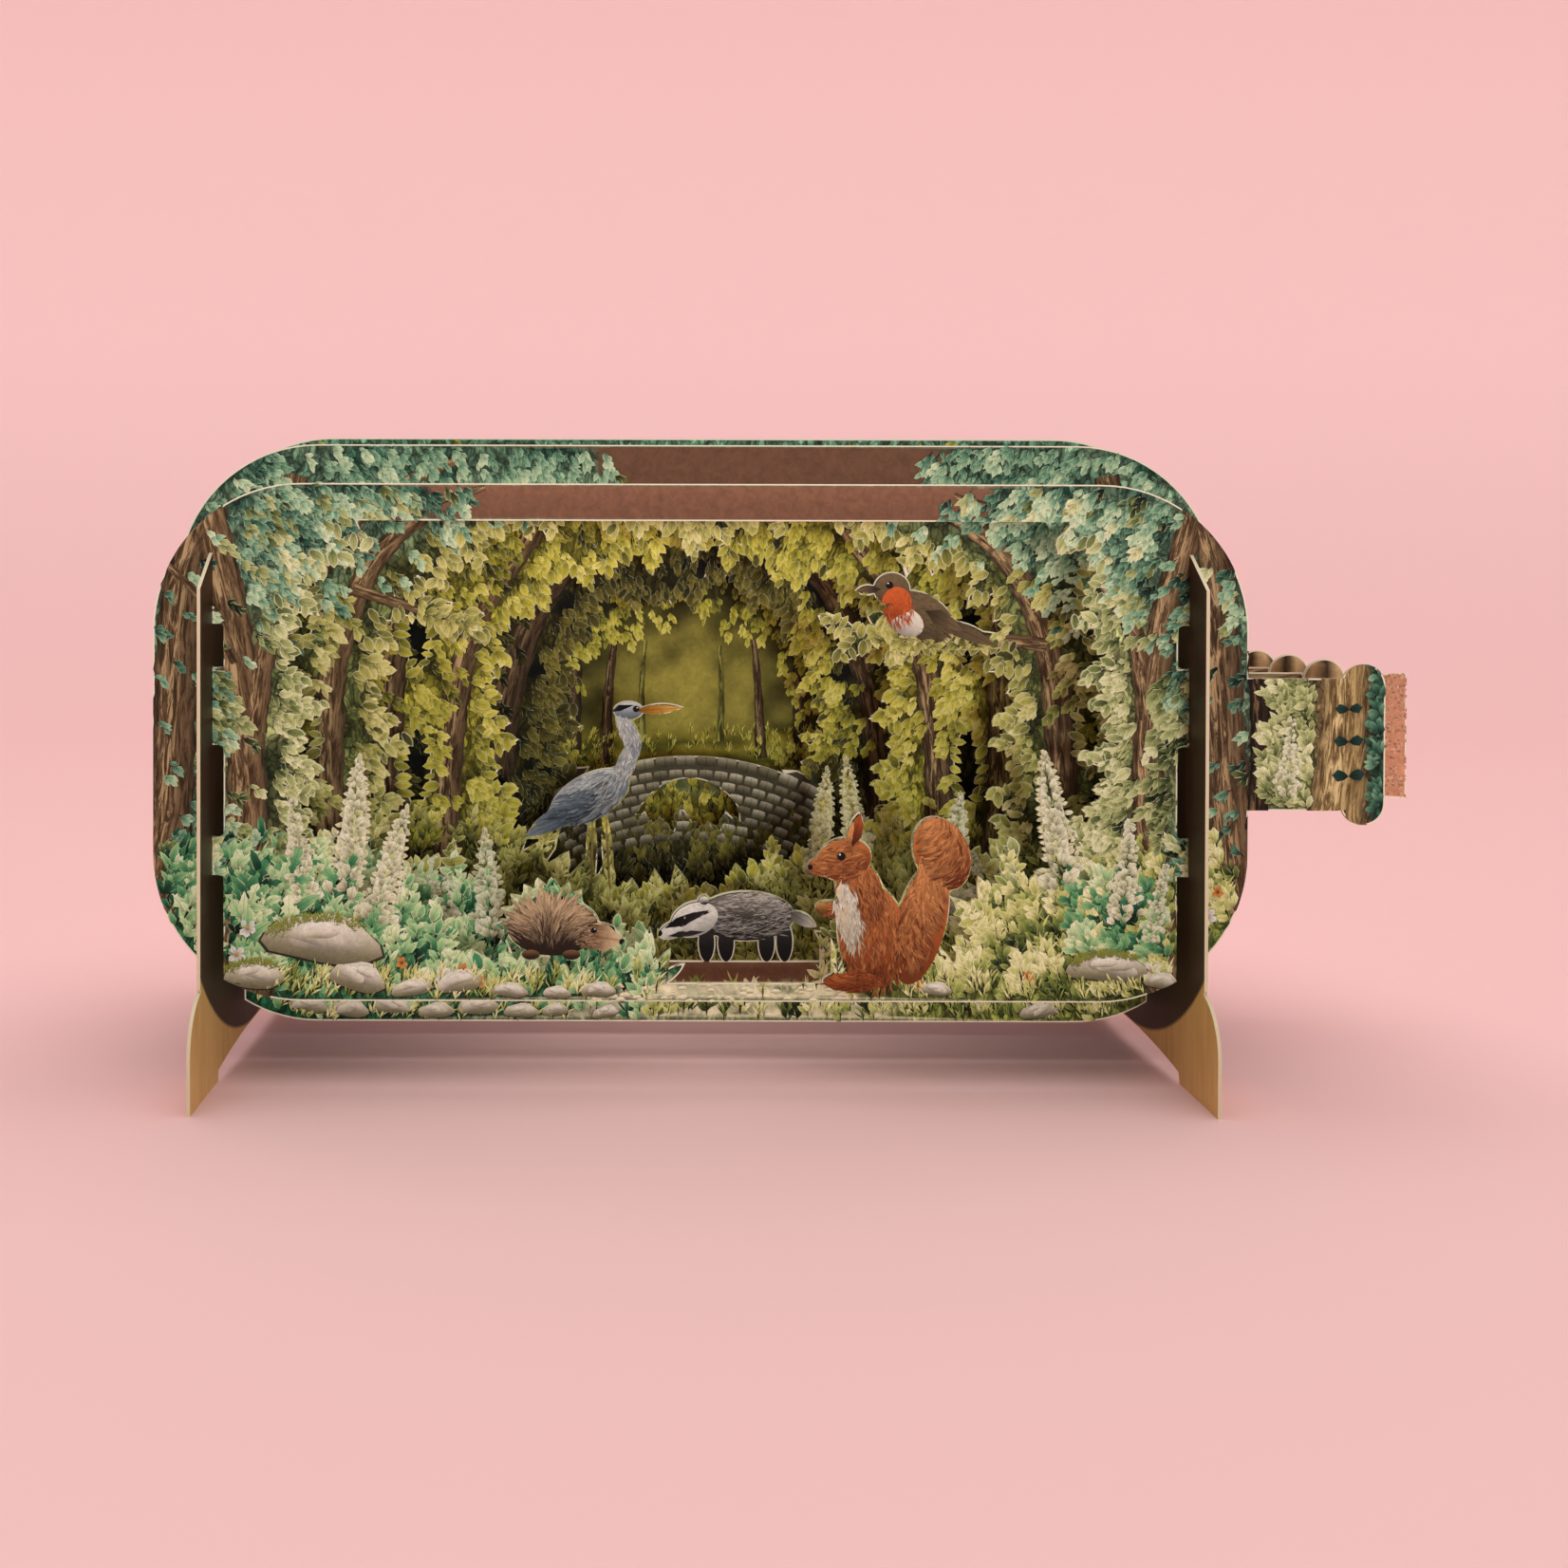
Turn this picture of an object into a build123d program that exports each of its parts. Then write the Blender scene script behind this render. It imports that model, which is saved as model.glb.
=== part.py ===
from build123d import *
from collections import namedtuple
from math import cos, pi, radians, sin, sqrt
import os

# A pop-up greeting card in the shape of a bottle that lies on its side on two feet.
# Five die-cut sheets stand one behind the other and cross two upright side supports.
# X runs along the bottle to its cork, the picture faces -Y, and the feet stand on Z = 0.

# Driving sizes in millimetres
board = 0.5
body_length = 159.0
corner_radius = 21.5
section_radius = 46.2
sheet_pitch = 13.4
neck_length = 13.5
neck_height = 19.2
lip_width = 6.4
lip_height = 23.4
cork_length = 9.4
cork_height = 18.2
cork_flare = 0.5
axis_height = 50.4

# Side supports, with heights from the bottle's axis
support_inset = 8.4
front_reach = 7.4
support_top = 32.0
shoulder_height = 22.4
chamfer_slope = 0.72
ankle_nick = 0.5
foot_flare = 5.6

# Feet, with heights from the floor
ankle_height = 16.2
knee_height = 7.8
pad_length = 15.8
pad_step = 1.6
pad_step_run = 0.4
arch_rise = 1.4

# Where a sheet and a support cross: sheet bridges in support windows, from the axis
fit_clearance = 0.1
slot_play = 1.6
upper_bridge_base = 17.2
middle_bridge_base = -0.4
middle_bridge_height = 11.3
lower_bridge_base = -19.3
lower_bridge_height = 5.5

# Plain band at the front opening's top, and the plain sill at the foot of two openings
band_height = 5.4
sill_width = 26.0
sill_offset = 6.0
sill_depth = 1.4
clearing_height = 9.0

# The leaves round an opening, as shares of their spacing, and the clumps they gather in
leaf_slenderness = 1.1
leaf_length_swing = 0.36
leaf_bulge = 0.1
leaf_droop = 0.5
leaf_lift = 0.2
leaf_sway = 0.16
clump_share = 0.36
clump_share_at_foot = 0.2
clump_ripple = 0.5
leaves_per_clump = 8

# Plants that grow from an opening's foot, as shares of their own length, and boughs
root_depth = 2.2
tuft_blades = 5
blade_width = 0.2
blade_fall = 0.6
blade_change = 0.14
spike_width = 0.15
bough_width = 0.11
twig_leaf_length = 0.22
twig_leaf_width = 0.09
twig_leaves = [(0.6, 40), (0.7, -38), (0.84, 36), (0.9, -24)]

# Heights of the animals, the footbridge, and the gaps between the trees
squirrel_height = 27.0
hedgehog_height = 9.5
badger_height = 11.5
heron_height = 31.0
songbird_height = 11.0
bridge_rise = 5.4
bridge_share = 0.9
arch_share = 0.48
gap_inset = 9.5
gap_length = 15.0
gap_width = 4.4

# Places that follow from the driving sizes
overall_length = body_length + neck_length + lip_width + cork_length
body_left = -overall_length / 2
body_middle = body_left + body_length / 2
support_offset = body_length / 2 - support_inset
lip_centre = body_length / 2 + neck_length + lip_width / 2
sheet_stations = [(index - 2) * sheet_pitch for index in range(5)]
support_reach = 2 * sheet_pitch + front_reach
foot_reach = support_reach + foot_flare
floor_level = -axis_height

# A figure drawn from ovals (across, up, half width, half height, turn) and pointed leaves
# (across, up, length, width, direction), in hundredths of its height, facing the left
Figure = namedtuple("Figure", "ovals leaves")
squirrel_shape = Figure(
    ovals=[(26, 35, 14, 34, -14), (37, 73, 15, 21, 24), (0, 29, 19, 29, 8), (-7, 53, 13, 17, 16),
           (-15, 70, 15, 12, 14), (-28, 66, 7, 5, 0), (-20, 43, 11, 5, -8), (-10, 4, 17, 6, 0)],
    leaves=[(-11, 77, 19, 8, 78)],
)
badger_shape = Figure(
    ovals=[(14, 60, 66, 34, 0), (-54, 56, 34, 24, 20), (-82, 42, 22, 12, 24), (-42, 80, 9, 9, 0),
           (-38, 24, 12, 26, 0), (-12, 24, 12, 26, 0), (42, 24, 12, 26, 0), (66, 26, 12, 28, 0)],
    leaves=[(72, 66, 42, 18, -28)],
)
hedgehog_shape = Figure(
    ovals=[(0, 48, 72, 46, 0), (-28, 6, 16, 10, 0), (34, 6, 16, 10, 0)],
    leaves=[(-34, 38, 76, 44, 188)]
    + [(0, 42, 90 - 2 * index, 30, 6 + 17 * index) for index in range(8)],
)
heron_shape = Figure(
    ovals=[(5, 50, 23, 12, -28), (-14, 67, 5, 15, 22), (-15, 84, 5, 12, -26), (-15, 95, 8, 5, 0)],
    leaves=[(4, -4, 50, 6, 90), (-6, -4, 50, 6, 86), (13, 44, 30, 11, -32), (-18, 95, 26, 6, 176)],
)
songbird_shape = Figure(
    ovals=[(0, 38, 50, 32, -24), (-38, 74, 26, 24, 0)],
    leaves=[(-54, 74, 36, 16, 184), (26, 30, 92, 26, -22)],
)


def half_height(station):
    """Half the height of the bottle's body at this distance from its axis."""
    return sqrt(section_radius**2 - station**2)


def sheet_plane(station):
    """The plane of a sheet's back face, with its origin on the bottle's axis."""
    origin = (body_middle, station + board / 2, axis_height)
    return Plane(origin=origin, x_dir=(1, 0, 0), z_dir=(0, -1, 0))


def support_plane(side):
    """The middle plane of the left (-1) or right (+1) support, seen from the neck end."""
    origin = (body_middle + side * support_offset, 0, axis_height)
    return Plane(origin=origin, x_dir=(0, 1, 0), z_dir=(1, 0, 0))


# An opening: its width, height, corner radius, centre height, and the leaves round its edge
Window = namedtuple("Window", "width height corner lift leaves")


def window_in(station, width, height, corner, lift, leaves):
    """An opening sized by shares of its sheet's length and height and of its own roundness."""
    wide = width * body_length
    tall = height * 2 * half_height(station)
    return Window(wide, tall, corner * min(wide, tall) / 2, lift * 2 * half_height(station), leaves)


front_window = window_in(sheet_stations[0], 0.767, 1.04, 0.85, 0.075, 80)
second_window = window_in(sheet_stations[1], 0.642, 0.769, 0.88, 0.006, 66)
middle_window = window_in(sheet_stations[2], 0.44, 0.628, 0.93, 0.011, 50)
fourth_window = window_in(sheet_stations[3], 0.302, 0.509, 0.955, 0.023, 38)


def polar(origin, length, angle):
    """The point at this length and angle in degrees from an origin."""
    return (origin[0] + length * cos(radians(angle)), origin[1] + length * sin(radians(angle)))


def leaf(origin, length, width, angle, mode=Mode.ADD):
    """A leaf of two arcs, from its stem at the origin to its tip."""
    tip = polar(origin, length, angle)
    middle = polar(origin, length / 2, angle)
    with BuildLine() as rim:
        ThreePointArc(origin, polar(middle, width / 2, angle + 90), tip)
        ThreePointArc(tip, polar(middle, width / 2, angle - 90), origin)
    make_face(rim.edges(), mode=mode)


def figure(shape, foot, height, facing=-1):
    """A figure of ovals and leaves that stands at its foot, facing the left (-1) or right (+1)."""
    unit = height / 100
    for across, up, half_width, half_tall, turn in shape.ovals:
        with Locations((foot[0] - facing * unit * across, foot[1] + unit * up)):
            Ellipse(unit * half_width, unit * half_tall, rotation=-facing * turn)
    for across, up, length, width, direction in shape.leaves:
        start = (foot[0] - facing * unit * across, foot[1] + unit * up)
        angle = direction if facing < 0 else 180 - direction
        leaf(start, unit * length, unit * width, angle)


def spot(window, share, rise=0.0):
    """A place on an opening's lower edge, at a share of its half width, sunk into the sheet."""
    across = share * window.width / 2
    run = max(abs(across) - (window.width / 2 - window.corner), 0)
    edge = window.lift - window.height / 2 + window.corner - sqrt(window.corner**2 - run**2)
    return (across, edge - root_depth + rise)


def tuft(window, share, length, spread):
    """A tuft of pointed leaves on an opening's lower edge, sized by a share of its height."""
    tall = length * window.height
    for index in range(tuft_blades):
        place = index / (tuft_blades - 1) - 0.5
        blade = tall * (1 - blade_fall * abs(place)) * (1 - blade_change * (index % 2))
        leaf(spot(window, share), blade, blade_width * tall, 90 - spread * place)


def flower_spike(window, share, length, lean):
    """A tall narrow flower head on an opening's lower edge, sized by a share of its height."""
    tall = length * window.height
    leaf(spot(window, share), tall, spike_width * tall, 90 + lean)


def bottle_outline(station):
    """The bottle seen from the side: a round-cornered body, a neck and a rounded lip."""
    RectangleRounded(body_length, 2 * half_height(station), corner_radius)
    with Locations((body_length / 2, 0)):
        Rectangle(2 * neck_length, neck_height)
    with Locations((lip_centre, 0)):
        SlotOverall(lip_height, lip_width, rotation=90)


def cork_outline():
    """The cork's tongue, a little wider at its outer end, which starts inside the lip."""
    root = lip_centre
    end = lip_centre + lip_width / 2 + cork_length
    outer = cork_height / 2 + cork_flare
    inner = cork_height / 2
    with BuildLine() as rim:
        Polyline((root, -inner), (end, -outer), (end, outer), (root, inner), close=True)
    make_face(rim.edges())


def foliage_edge(window):
    """The points of an opening's edge: a notch, a tip and a shoulder for every leaf."""
    base = RectangleRounded(window.width, window.height, window.corner, mode=Mode.PRIVATE)
    edge = base.face().outer_wire().moved(Location((0, window.lift)))
    spacing = edge.length / window.leaves
    clumps = round(window.leaves / leaves_per_clump)

    def place(share):
        """A point of the edge, which swells into clumps towards the top, and its way inward."""
        point, inward = edge.position_at(share), edge.tangent_at(share).rotate(Axis.Z, 90)
        rise = (point.Y - window.lift) / window.height + 0.5
        turn = 2 * pi * share
        swell = sin(clumps * turn + window.lift) + clump_ripple * sin((clumps + 3) * turn)
        growth = clump_share_at_foot + (1 - clump_share_at_foot) * rise
        point += inward * (clump_share * spacing * growth * swell)
        return point, inward, Vector(0, leaf_lift - (leaf_lift + leaf_droop) * rise)

    notches, tips = [], []
    for index in range(window.leaves):
        notches.append(place(index / window.leaves)[0])
        middle, inward, lean = place((index + 0.5) / window.leaves)
        sway = leaf_sway * sin(1.7 * index) * inward.rotate(Axis.Z, 90)
        length = spacing * leaf_slenderness * (1 + leaf_length_swing * sin(2.3 * index))
        tips.append(middle + (inward + sway + lean).normalized() * length)
    points = []
    for notch, tip, following in zip(notches, tips, notches[1:] + notches[:1]):
        bulge = leaf_bulge * (following - tip).rotate(Axis.Z, 90)
        points += [notch, tip, (tip + following) / 2 + bulge]
    return points


def leafy_opening(window, ceiling=None):
    """Cuts an opening edged with leaf tips, which a plain band closes above its ceiling."""
    points = foliage_edge(window)
    with BuildSketch(mode=Mode.PRIVATE) as opening:
        with BuildLine() as rim:
            Polyline(points, close=True)
        make_face(rim.edges())
        if ceiling is not None:
            with Locations((0, ceiling)):
                Rectangle(2 * body_length, body_length, align=(Align.CENTER, Align.MIN),
                          mode=Mode.SUBTRACT)
    add(opening.sketch, mode=Mode.SUBTRACT)


def tree_gaps(window, rises):
    """Cuts pointed gaps between the tree trunks, on both sides of the opening."""
    across = window.width / 2 + gap_inset
    for side in (-1, 1):
        for rise in rises:
            foot = (side * across, window.lift + rise * window.height)
            leaf(foot, gap_length, gap_width, 90, mode=Mode.SUBTRACT)


def sill_middle(window):
    """The middle of the plain sill, a little below an opening's lower edge."""
    return (sill_offset, window.lift - window.height / 2 - sill_depth)


def clearing(window):
    """Cuts the leaves away above the sill, down to its plain straight edge."""
    with Locations(sill_middle(window)):
        Rectangle(sill_width, clearing_height, align=(Align.CENTER, Align.MIN), mode=Mode.SUBTRACT)


def support_slots():
    """Cuts the slots that let both supports through, between the sheet's bridges."""
    middle_top = middle_bridge_base + middle_bridge_height
    lower_top = lower_bridge_base + lower_bridge_height
    spans = [(middle_top, upper_bridge_base), (lower_top, middle_bridge_base),
             (-body_length, lower_bridge_base)]
    outer = support_offset + board / 2 + fit_clearance
    inner = support_offset - board / 2 - slot_play
    for side in (-1, 1):
        for low, high in spans:
            with Locations((side * (outer + inner) / 2, (low + high) / 2)):
                Rectangle(outer - inner, high - low, mode=Mode.SUBTRACT)


def branch(window, side, rise, share, angle):
    """A bough with leaves towards its end, from the left (-1) or right (+1) of an opening."""
    root = (side * (window.width / 2 + root_depth), window.lift + rise * window.height)
    length = share * window.width
    leaf(root, length, bough_width * length, angle)
    for place, turn in twig_leaves:
        stem = polar(root, place * length, angle)
        leaf(stem, twig_leaf_length * length, twig_leaf_width * length, angle + turn)


def footbridge(window):
    """A humped bridge of stone across an opening, with one round arch under it."""
    span = bridge_share * window.width
    foot = window.lift - window.height / 2 - root_depth
    deck_end = foot + 2 * bridge_rise
    with BuildLine() as rim:
        ThreePointArc((-span / 2, deck_end), (0, deck_end + bridge_rise), (span / 2, deck_end))
        Polyline((span / 2, deck_end), (span / 2, foot), (-span / 2, foot), (-span / 2, deck_end))
    make_face(rim.edges())
    with Locations((0, foot)):
        Ellipse(arch_share / 2 * span, 2.3 * bridge_rise, mode=Mode.SUBTRACT)
        Rectangle(span, 2 * root_depth)


# Front sheet: plain band, leafy opening, and plants, a squirrel and a hedgehog at its foot
front_station = sheet_stations[0]
with BuildPart() as front_sheet:
    with BuildSketch(sheet_plane(front_station)):
        bottle_outline(front_station)
        leafy_opening(front_window, half_height(front_station) - band_height)
        clearing(front_window)
        with BuildSketch(mode=Mode.PRIVATE) as growth:
            figure(squirrel_shape, spot(front_window, 0.41), squirrel_height)
            figure(hedgehog_shape, spot(front_window, -0.35, 2 * root_depth), hedgehog_height, 1)
            tuft(front_window, -0.7, 0.19, 100)
            tuft(front_window, -0.12, 0.115, 110)
            tuft(front_window, 0.74, 0.22, 90)
            flower_spike(front_window, -0.84, 0.31, -4)
            flower_spike(front_window, -0.79, 0.26, -16)
            flower_spike(front_window, 0.87, 0.3, 8)
        add(growth.sketch)
        support_slots()
    extrude(amount=board)
front_sheet.part.label = "front_sheet"

# Second sheet: the cork's tongue, two boughs, a songbird, and a badger on the plain sill
second_station = sheet_stations[1]
perch = (second_window.width / 3, second_window.lift + 0.2 * second_window.height)
with BuildPart() as second_sheet:
    with BuildSketch(sheet_plane(second_station)):
        bottle_outline(second_station)
        cork_outline()
        leafy_opening(second_window)
        tree_gaps(second_window, (-0.1, 0.18))
        clearing(second_window)
        with BuildSketch(mode=Mode.PRIVATE) as growth:
            branch(second_window, 1, 0.2, 0.31, 178)
            figure(songbird_shape, perch, songbird_height)
            branch(second_window, -1, 0.31, 0.2, -16)
            figure(badger_shape, sill_middle(second_window), badger_height)
            tuft(second_window, -0.73, 0.22, 100)
            tuft(second_window, 0.5, 0.19, 110)
            flower_spike(second_window, -0.61, 0.29, 4)
            flower_spike(second_window, 0.75, 0.32, -6)
        add(growth.sketch)
        support_slots()
    extrude(amount=board)
second_sheet.part.label = "second_sheet"

# Middle sheet: a narrower opening with a heron among the reeds
middle_station = sheet_stations[2]
with BuildPart() as middle_sheet:
    with BuildSketch(sheet_plane(middle_station)):
        bottle_outline(middle_station)
        leafy_opening(middle_window)
        tree_gaps(middle_window, (-0.26, 0.12))
        with BuildSketch(mode=Mode.PRIVATE) as growth:
            figure(heron_shape, spot(middle_window, -0.43, root_depth), heron_height, 1)
            tuft(middle_window, 0.37, 0.21, 100)
            flower_spike(middle_window, 0.57, 0.36, -5)
            flower_spike(middle_window, 0.76, 0.31, 6)
        add(growth.sketch)
        support_slots()
    extrude(amount=board)
middle_sheet.part.label = "middle_sheet"

# Fourth sheet: a round opening with a footbridge across it
fourth_station = sheet_stations[3]
with BuildPart() as fourth_sheet:
    with BuildSketch(sheet_plane(fourth_station)):
        bottle_outline(fourth_station)
        leafy_opening(fourth_window)
        with BuildSketch(mode=Mode.PRIVATE) as growth:
            footbridge(fourth_window)
        add(growth.sketch)
        support_slots()
    extrude(amount=board)
fourth_sheet.part.label = "fourth_sheet"

# Back sheet: the whole picture behind the openings
back_station = sheet_stations[4]
with BuildPart() as back_sheet:
    with BuildSketch(sheet_plane(back_station)):
        bottle_outline(back_station)
        support_slots()
    extrude(amount=board)
back_sheet.part.label = "back_sheet"


def support_half_outline():
    """The support's edge from the middle of its top to the middle of its arch, at the back."""
    shoulder = (support_reach, shoulder_height)
    top_width = support_reach - (support_top - shoulder_height) / chamfer_slope
    ankle = (support_reach, floor_level + ankle_height)
    nick = (support_reach - ankle_nick, ankle[1] - ankle_nick)
    knee = (foot_reach, floor_level + knee_height)
    toe = (foot_reach, floor_level)
    heel = (foot_reach - pad_length, floor_level)
    arch_end = (heel[0] - pad_step_run, floor_level + pad_step)
    arch_top = (0, arch_end[1] + arch_rise)
    with BuildLine() as rim:
        Polyline((0, support_top), (top_width, support_top), shoulder, ankle, nick)
        TangentArc(knee, nick, tangent=(0, 1))
        Polyline(knee, toe, heel, arch_end)
        TangentArc(arch_top, arch_end, tangent=(1, 0))
        Line(arch_top, (0, support_top))
    make_face(rim.edges())


# Side supports: chamfered top, windows that take the sheets' bridges, and two flared feet
def build_support(side, name):
    """One side support, mirrored front to back, with its windows at every sheet."""
    with BuildPart() as support:
        with BuildSketch(support_plane(side)):
            support_half_outline()
            mirror(about=Plane.YZ)
            width = board + 2 * fit_clearance
            spans = [(upper_bridge_base, 2 * section_radius)]
            for base, height in ((middle_bridge_base, middle_bridge_height),
                                 (lower_bridge_base, lower_bridge_height)):
                spans.append((base, base + height + fit_clearance))
            for station in sheet_stations:
                for low, high in spans:
                    with Locations((station, (low + high) / 2)):
                        Rectangle(width, high - low, mode=Mode.SUBTRACT)
        extrude(amount=board / 2, both=True)
    support.part.label = name
    return support


left_support = build_support(-1, "left_support")
right_support = build_support(1, "right_support")

os.makedirs("parts", exist_ok=True)
for piece in (front_sheet, second_sheet, middle_sheet, fourth_sheet, back_sheet,
              left_support, right_support):
    export_step(piece.part, f"parts/{piece.part.label}.step")
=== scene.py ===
import math

import bpy
import numpy as np
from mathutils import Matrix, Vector
from mathutils.geometry import delaunay_2d_cdt


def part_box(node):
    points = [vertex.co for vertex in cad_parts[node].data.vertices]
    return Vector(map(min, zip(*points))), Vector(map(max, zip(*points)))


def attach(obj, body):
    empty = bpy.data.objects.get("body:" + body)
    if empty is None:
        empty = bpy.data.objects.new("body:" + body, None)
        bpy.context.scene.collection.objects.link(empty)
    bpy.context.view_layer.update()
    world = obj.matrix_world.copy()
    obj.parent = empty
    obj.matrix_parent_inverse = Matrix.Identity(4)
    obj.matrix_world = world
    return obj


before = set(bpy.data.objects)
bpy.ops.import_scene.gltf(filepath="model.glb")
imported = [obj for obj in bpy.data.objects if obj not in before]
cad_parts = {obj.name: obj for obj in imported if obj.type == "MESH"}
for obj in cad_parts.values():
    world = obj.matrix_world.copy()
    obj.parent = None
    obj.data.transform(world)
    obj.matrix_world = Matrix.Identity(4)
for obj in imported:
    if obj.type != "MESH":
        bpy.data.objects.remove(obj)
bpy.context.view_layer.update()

# The card's layout, in millimetres in the part's own frame
MM = 0.001
middle_x = -14.65
axis_z = 50.4
neck_x = 65
leaf_end_x = 65.5
cork_x = 84.6
hang_z = 36
dark_circle = 47.5
bridge_foot = 27.7

# How far each layer of print stands off the board
field_lift = 0.02
trunk_lift = 0.05
leaf_lift = 0.1
stone_lift = 0.3
figure_lift = 0.54
cut_rim = 0.22

full_turn = 2 * math.pi


def tint(red, green, blue):
    """A colour written as it shows on screen, as linear values."""
    screen = np.array([red, green, blue], float) / 255
    return np.where(screen <= 0.04045, screen / 12.92, ((screen + 0.055) / 1.055) ** 2.4)


def shades(*colours):
    """A palette, from shade to light."""
    return np.array([tint(*colour) for colour in colours])


cream = tint(218, 202, 166)
cream_rim = tint(242, 234, 206)
cream_leaf = tint(230, 230, 184)
deep_teal = tint(30, 66, 56)
moss = tint(132, 138, 54)
bark_dark = tint(50, 36, 22)
bark = tint(138, 112, 78)
bark_light = tint(204, 172, 124)
bronze = tint(124, 88, 66)
stone = tint(228, 220, 192)
stone_dark = tint(128, 122, 94)
path = tint(248, 238, 196)
salmon = tint(204, 144, 110)
salmon_light = tint(226, 172, 138)
black = tint(20, 17, 15)
white = tint(242, 238, 224)
pink = tint(245, 199, 196)

# Leaf colours of each part of the wood
canopy_shades = shades((16, 26, 12), (62, 76, 38), (124, 136, 78), (180, 186, 120),
                       (216, 218, 158), (238, 236, 194))
outer_shades = shades((14, 34, 28), (52, 94, 74), (102, 150, 118), (156, 192, 152),
                      (200, 220, 174), (228, 236, 194))
left_ground = shades((8, 40, 24), (28, 88, 58), (76, 146, 96), (140, 192, 126),
                     (204, 224, 164), (244, 244, 206))
right_ground = shades((24, 32, 8), (84, 104, 42), (150, 162, 76), (204, 204, 116),
                      (234, 230, 160), (246, 240, 196))
olive_shades = shades((18, 20, 6), (74, 76, 30), (134, 134, 62), (182, 178, 92),
                      (216, 208, 126), (236, 228, 166))
sunny_shades = shades((24, 24, 5), (86, 84, 22), (146, 142, 44), (192, 184, 66),
                      (220, 210, 92), (238, 228, 138))
dark_shades = shades((9, 9, 3), (32, 31, 10), (60, 57, 18), (90, 84, 30), (122, 114, 46), (150, 142, 68))
bloom_shades = shades((150, 150, 104), (178, 176, 130), (204, 200, 154), (222, 218, 180), (236, 232, 202),
                      (242, 238, 216))


def blend(a, b, share):
    """Mixes two colours, or rows of colours, by a share for each row."""
    share = np.clip(np.asarray(share, float), 0, 1)[..., None]
    return a * (1 - share) + b * share


def steps(value, low, high):
    """A smooth step from 0 at low to 1 at high."""
    share = np.clip((value - low) / (high - low), 0, 1)
    return share * share * (3 - 2 * share)


def drift(points, size, seed):
    """A smooth wandering value from about -1 to 1 over a sheet."""
    random = np.random.default_rng(seed)
    total = np.zeros(len(points))
    for _ in range(7):
        angle, phase = random.uniform(0, full_turn, 2)
        pace = random.uniform(0.6, 1.7) * full_turn / size
        total += np.sin(pace * (points[:, 0] * math.cos(angle) + points[:, 1] * math.sin(angle)) + phase)
    return total / 2.4


def wash(points, dark, light, size, seed, base=0.4, swing=0.35):
    """Two colours that drift into each other."""
    return blend(dark, light, base + swing * drift(points, size, seed))


def ring(points, half_wide, half_tall, x=middle_x, z=axis_z):
    """How far out points lie, with 1 on an oval."""
    return np.hypot((points[:, 0] - x) / half_wide, (points[:, 1] - z) / half_tall)


def box_share(points, low, high, soft=2.0):
    """1 inside a box, falling to 0 outside it."""
    share = 1
    for value, start, end in zip(points.T, low, high):
        share = share * steps(value, start - soft, start + soft) * steps(value, end + soft, end - soft)
    return share


def seen(points, low, high):
    """Leaves stand thinner where the sheets in front cover the print."""
    return 0.3 + 0.7 * box_share(points, low, high, 4.0)


def unit(rows):
    return rows / np.maximum(np.hypot(*rows.T), 1e-9)[:, None]


def run_length(line):
    """How far along a line each of its points lies."""
    return np.concatenate([[0], np.cumsum(np.hypot(*np.diff(line[:, :2], axis=0).T))])


def rgba(colour):
    return (*[float(c) for c in colour], 1.0)


# Shader graphs


class Graph:
    """Adds nodes to a tree and joins them."""

    def __init__(self, tree):
        self.nodes = tree.nodes
        self.link = tree.links.new

    def add(self, kind, inputs=None, **settings):
        node = self.nodes.new(kind)
        for key, value in settings.items():
            setattr(node, key, value)
        for key, value in (inputs or {}).items():
            if isinstance(value, bpy.types.NodeSocket):
                self.link(value, node.inputs[key])
            else:
                node.inputs[key].default_value = rgba(value) if isinstance(value, np.ndarray) else value
        return node

    def math(self, operation, *values):
        return self.add("ShaderNodeMath", dict(enumerate(values)), operation=operation).outputs[0]

    def times(self, first, *others):
        for other in others:
            first = self.math("MULTIPLY", first, other)
        return first

    def mix(self, share, first, second, blend_type="MIX"):
        values = {0: share, 6: first, 7: second}
        return self.add("ShaderNodeMix", values, data_type="RGBA", blend_type=blend_type).outputs[2]

    def shaded(self, colour, factor):
        return self.mix(1.0, colour, factor, "MULTIPLY")

    def spread(self, value, low, high, to_low=0.0, to_high=1.0):
        values = {"Value": value, "From Min": low, "From Max": high, "To Min": to_low, "To Max": to_high}
        return self.add("ShaderNodeMapRange", values, interpolation_type="SMOOTHSTEP").outputs[0]

    def fact(self, name, output="Fac"):
        return self.add("ShaderNodeAttribute", attribute_name=name).outputs[output]

    def place(self):
        return self.add("ShaderNodeTexCoord").outputs["Object"]

    def stretched(self, place, scale, turn=(0.0, 0.0, 0.0)):
        return self.add("ShaderNodeMapping", {0: place, 2: turn, 3: scale}).outputs[0]

    def noise(self, place, scale, detail, roughness=0.5, distortion=0.0):
        values = {"Vector": place, "Scale": scale, "Detail": detail, "Roughness": roughness,
                  "Distortion": distortion}
        return self.add("ShaderNodeTexNoise", values).outputs

    def group(self, tree, *values):
        return self.add("ShaderNodeGroup", dict(enumerate(values)), node_tree=tree).outputs


def new_group(name, inputs, outputs):
    """A shader node group with named values, and the graph inside it."""
    tree = bpy.data.node_groups.new(name, "ShaderNodeTree")
    for label, value in inputs.items():
        socket = tree.interface.new_socket(label, in_out="INPUT", socket_type="NodeSocketFloat")
        socket.default_value = value
    for label in outputs:
        tree.interface.new_socket(label, in_out="OUTPUT", socket_type="NodeSocketFloat")
    graph = Graph(tree)
    return tree, graph, graph.add("NodeGroupInput").outputs, graph.add("NodeGroupOutput").inputs


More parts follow.
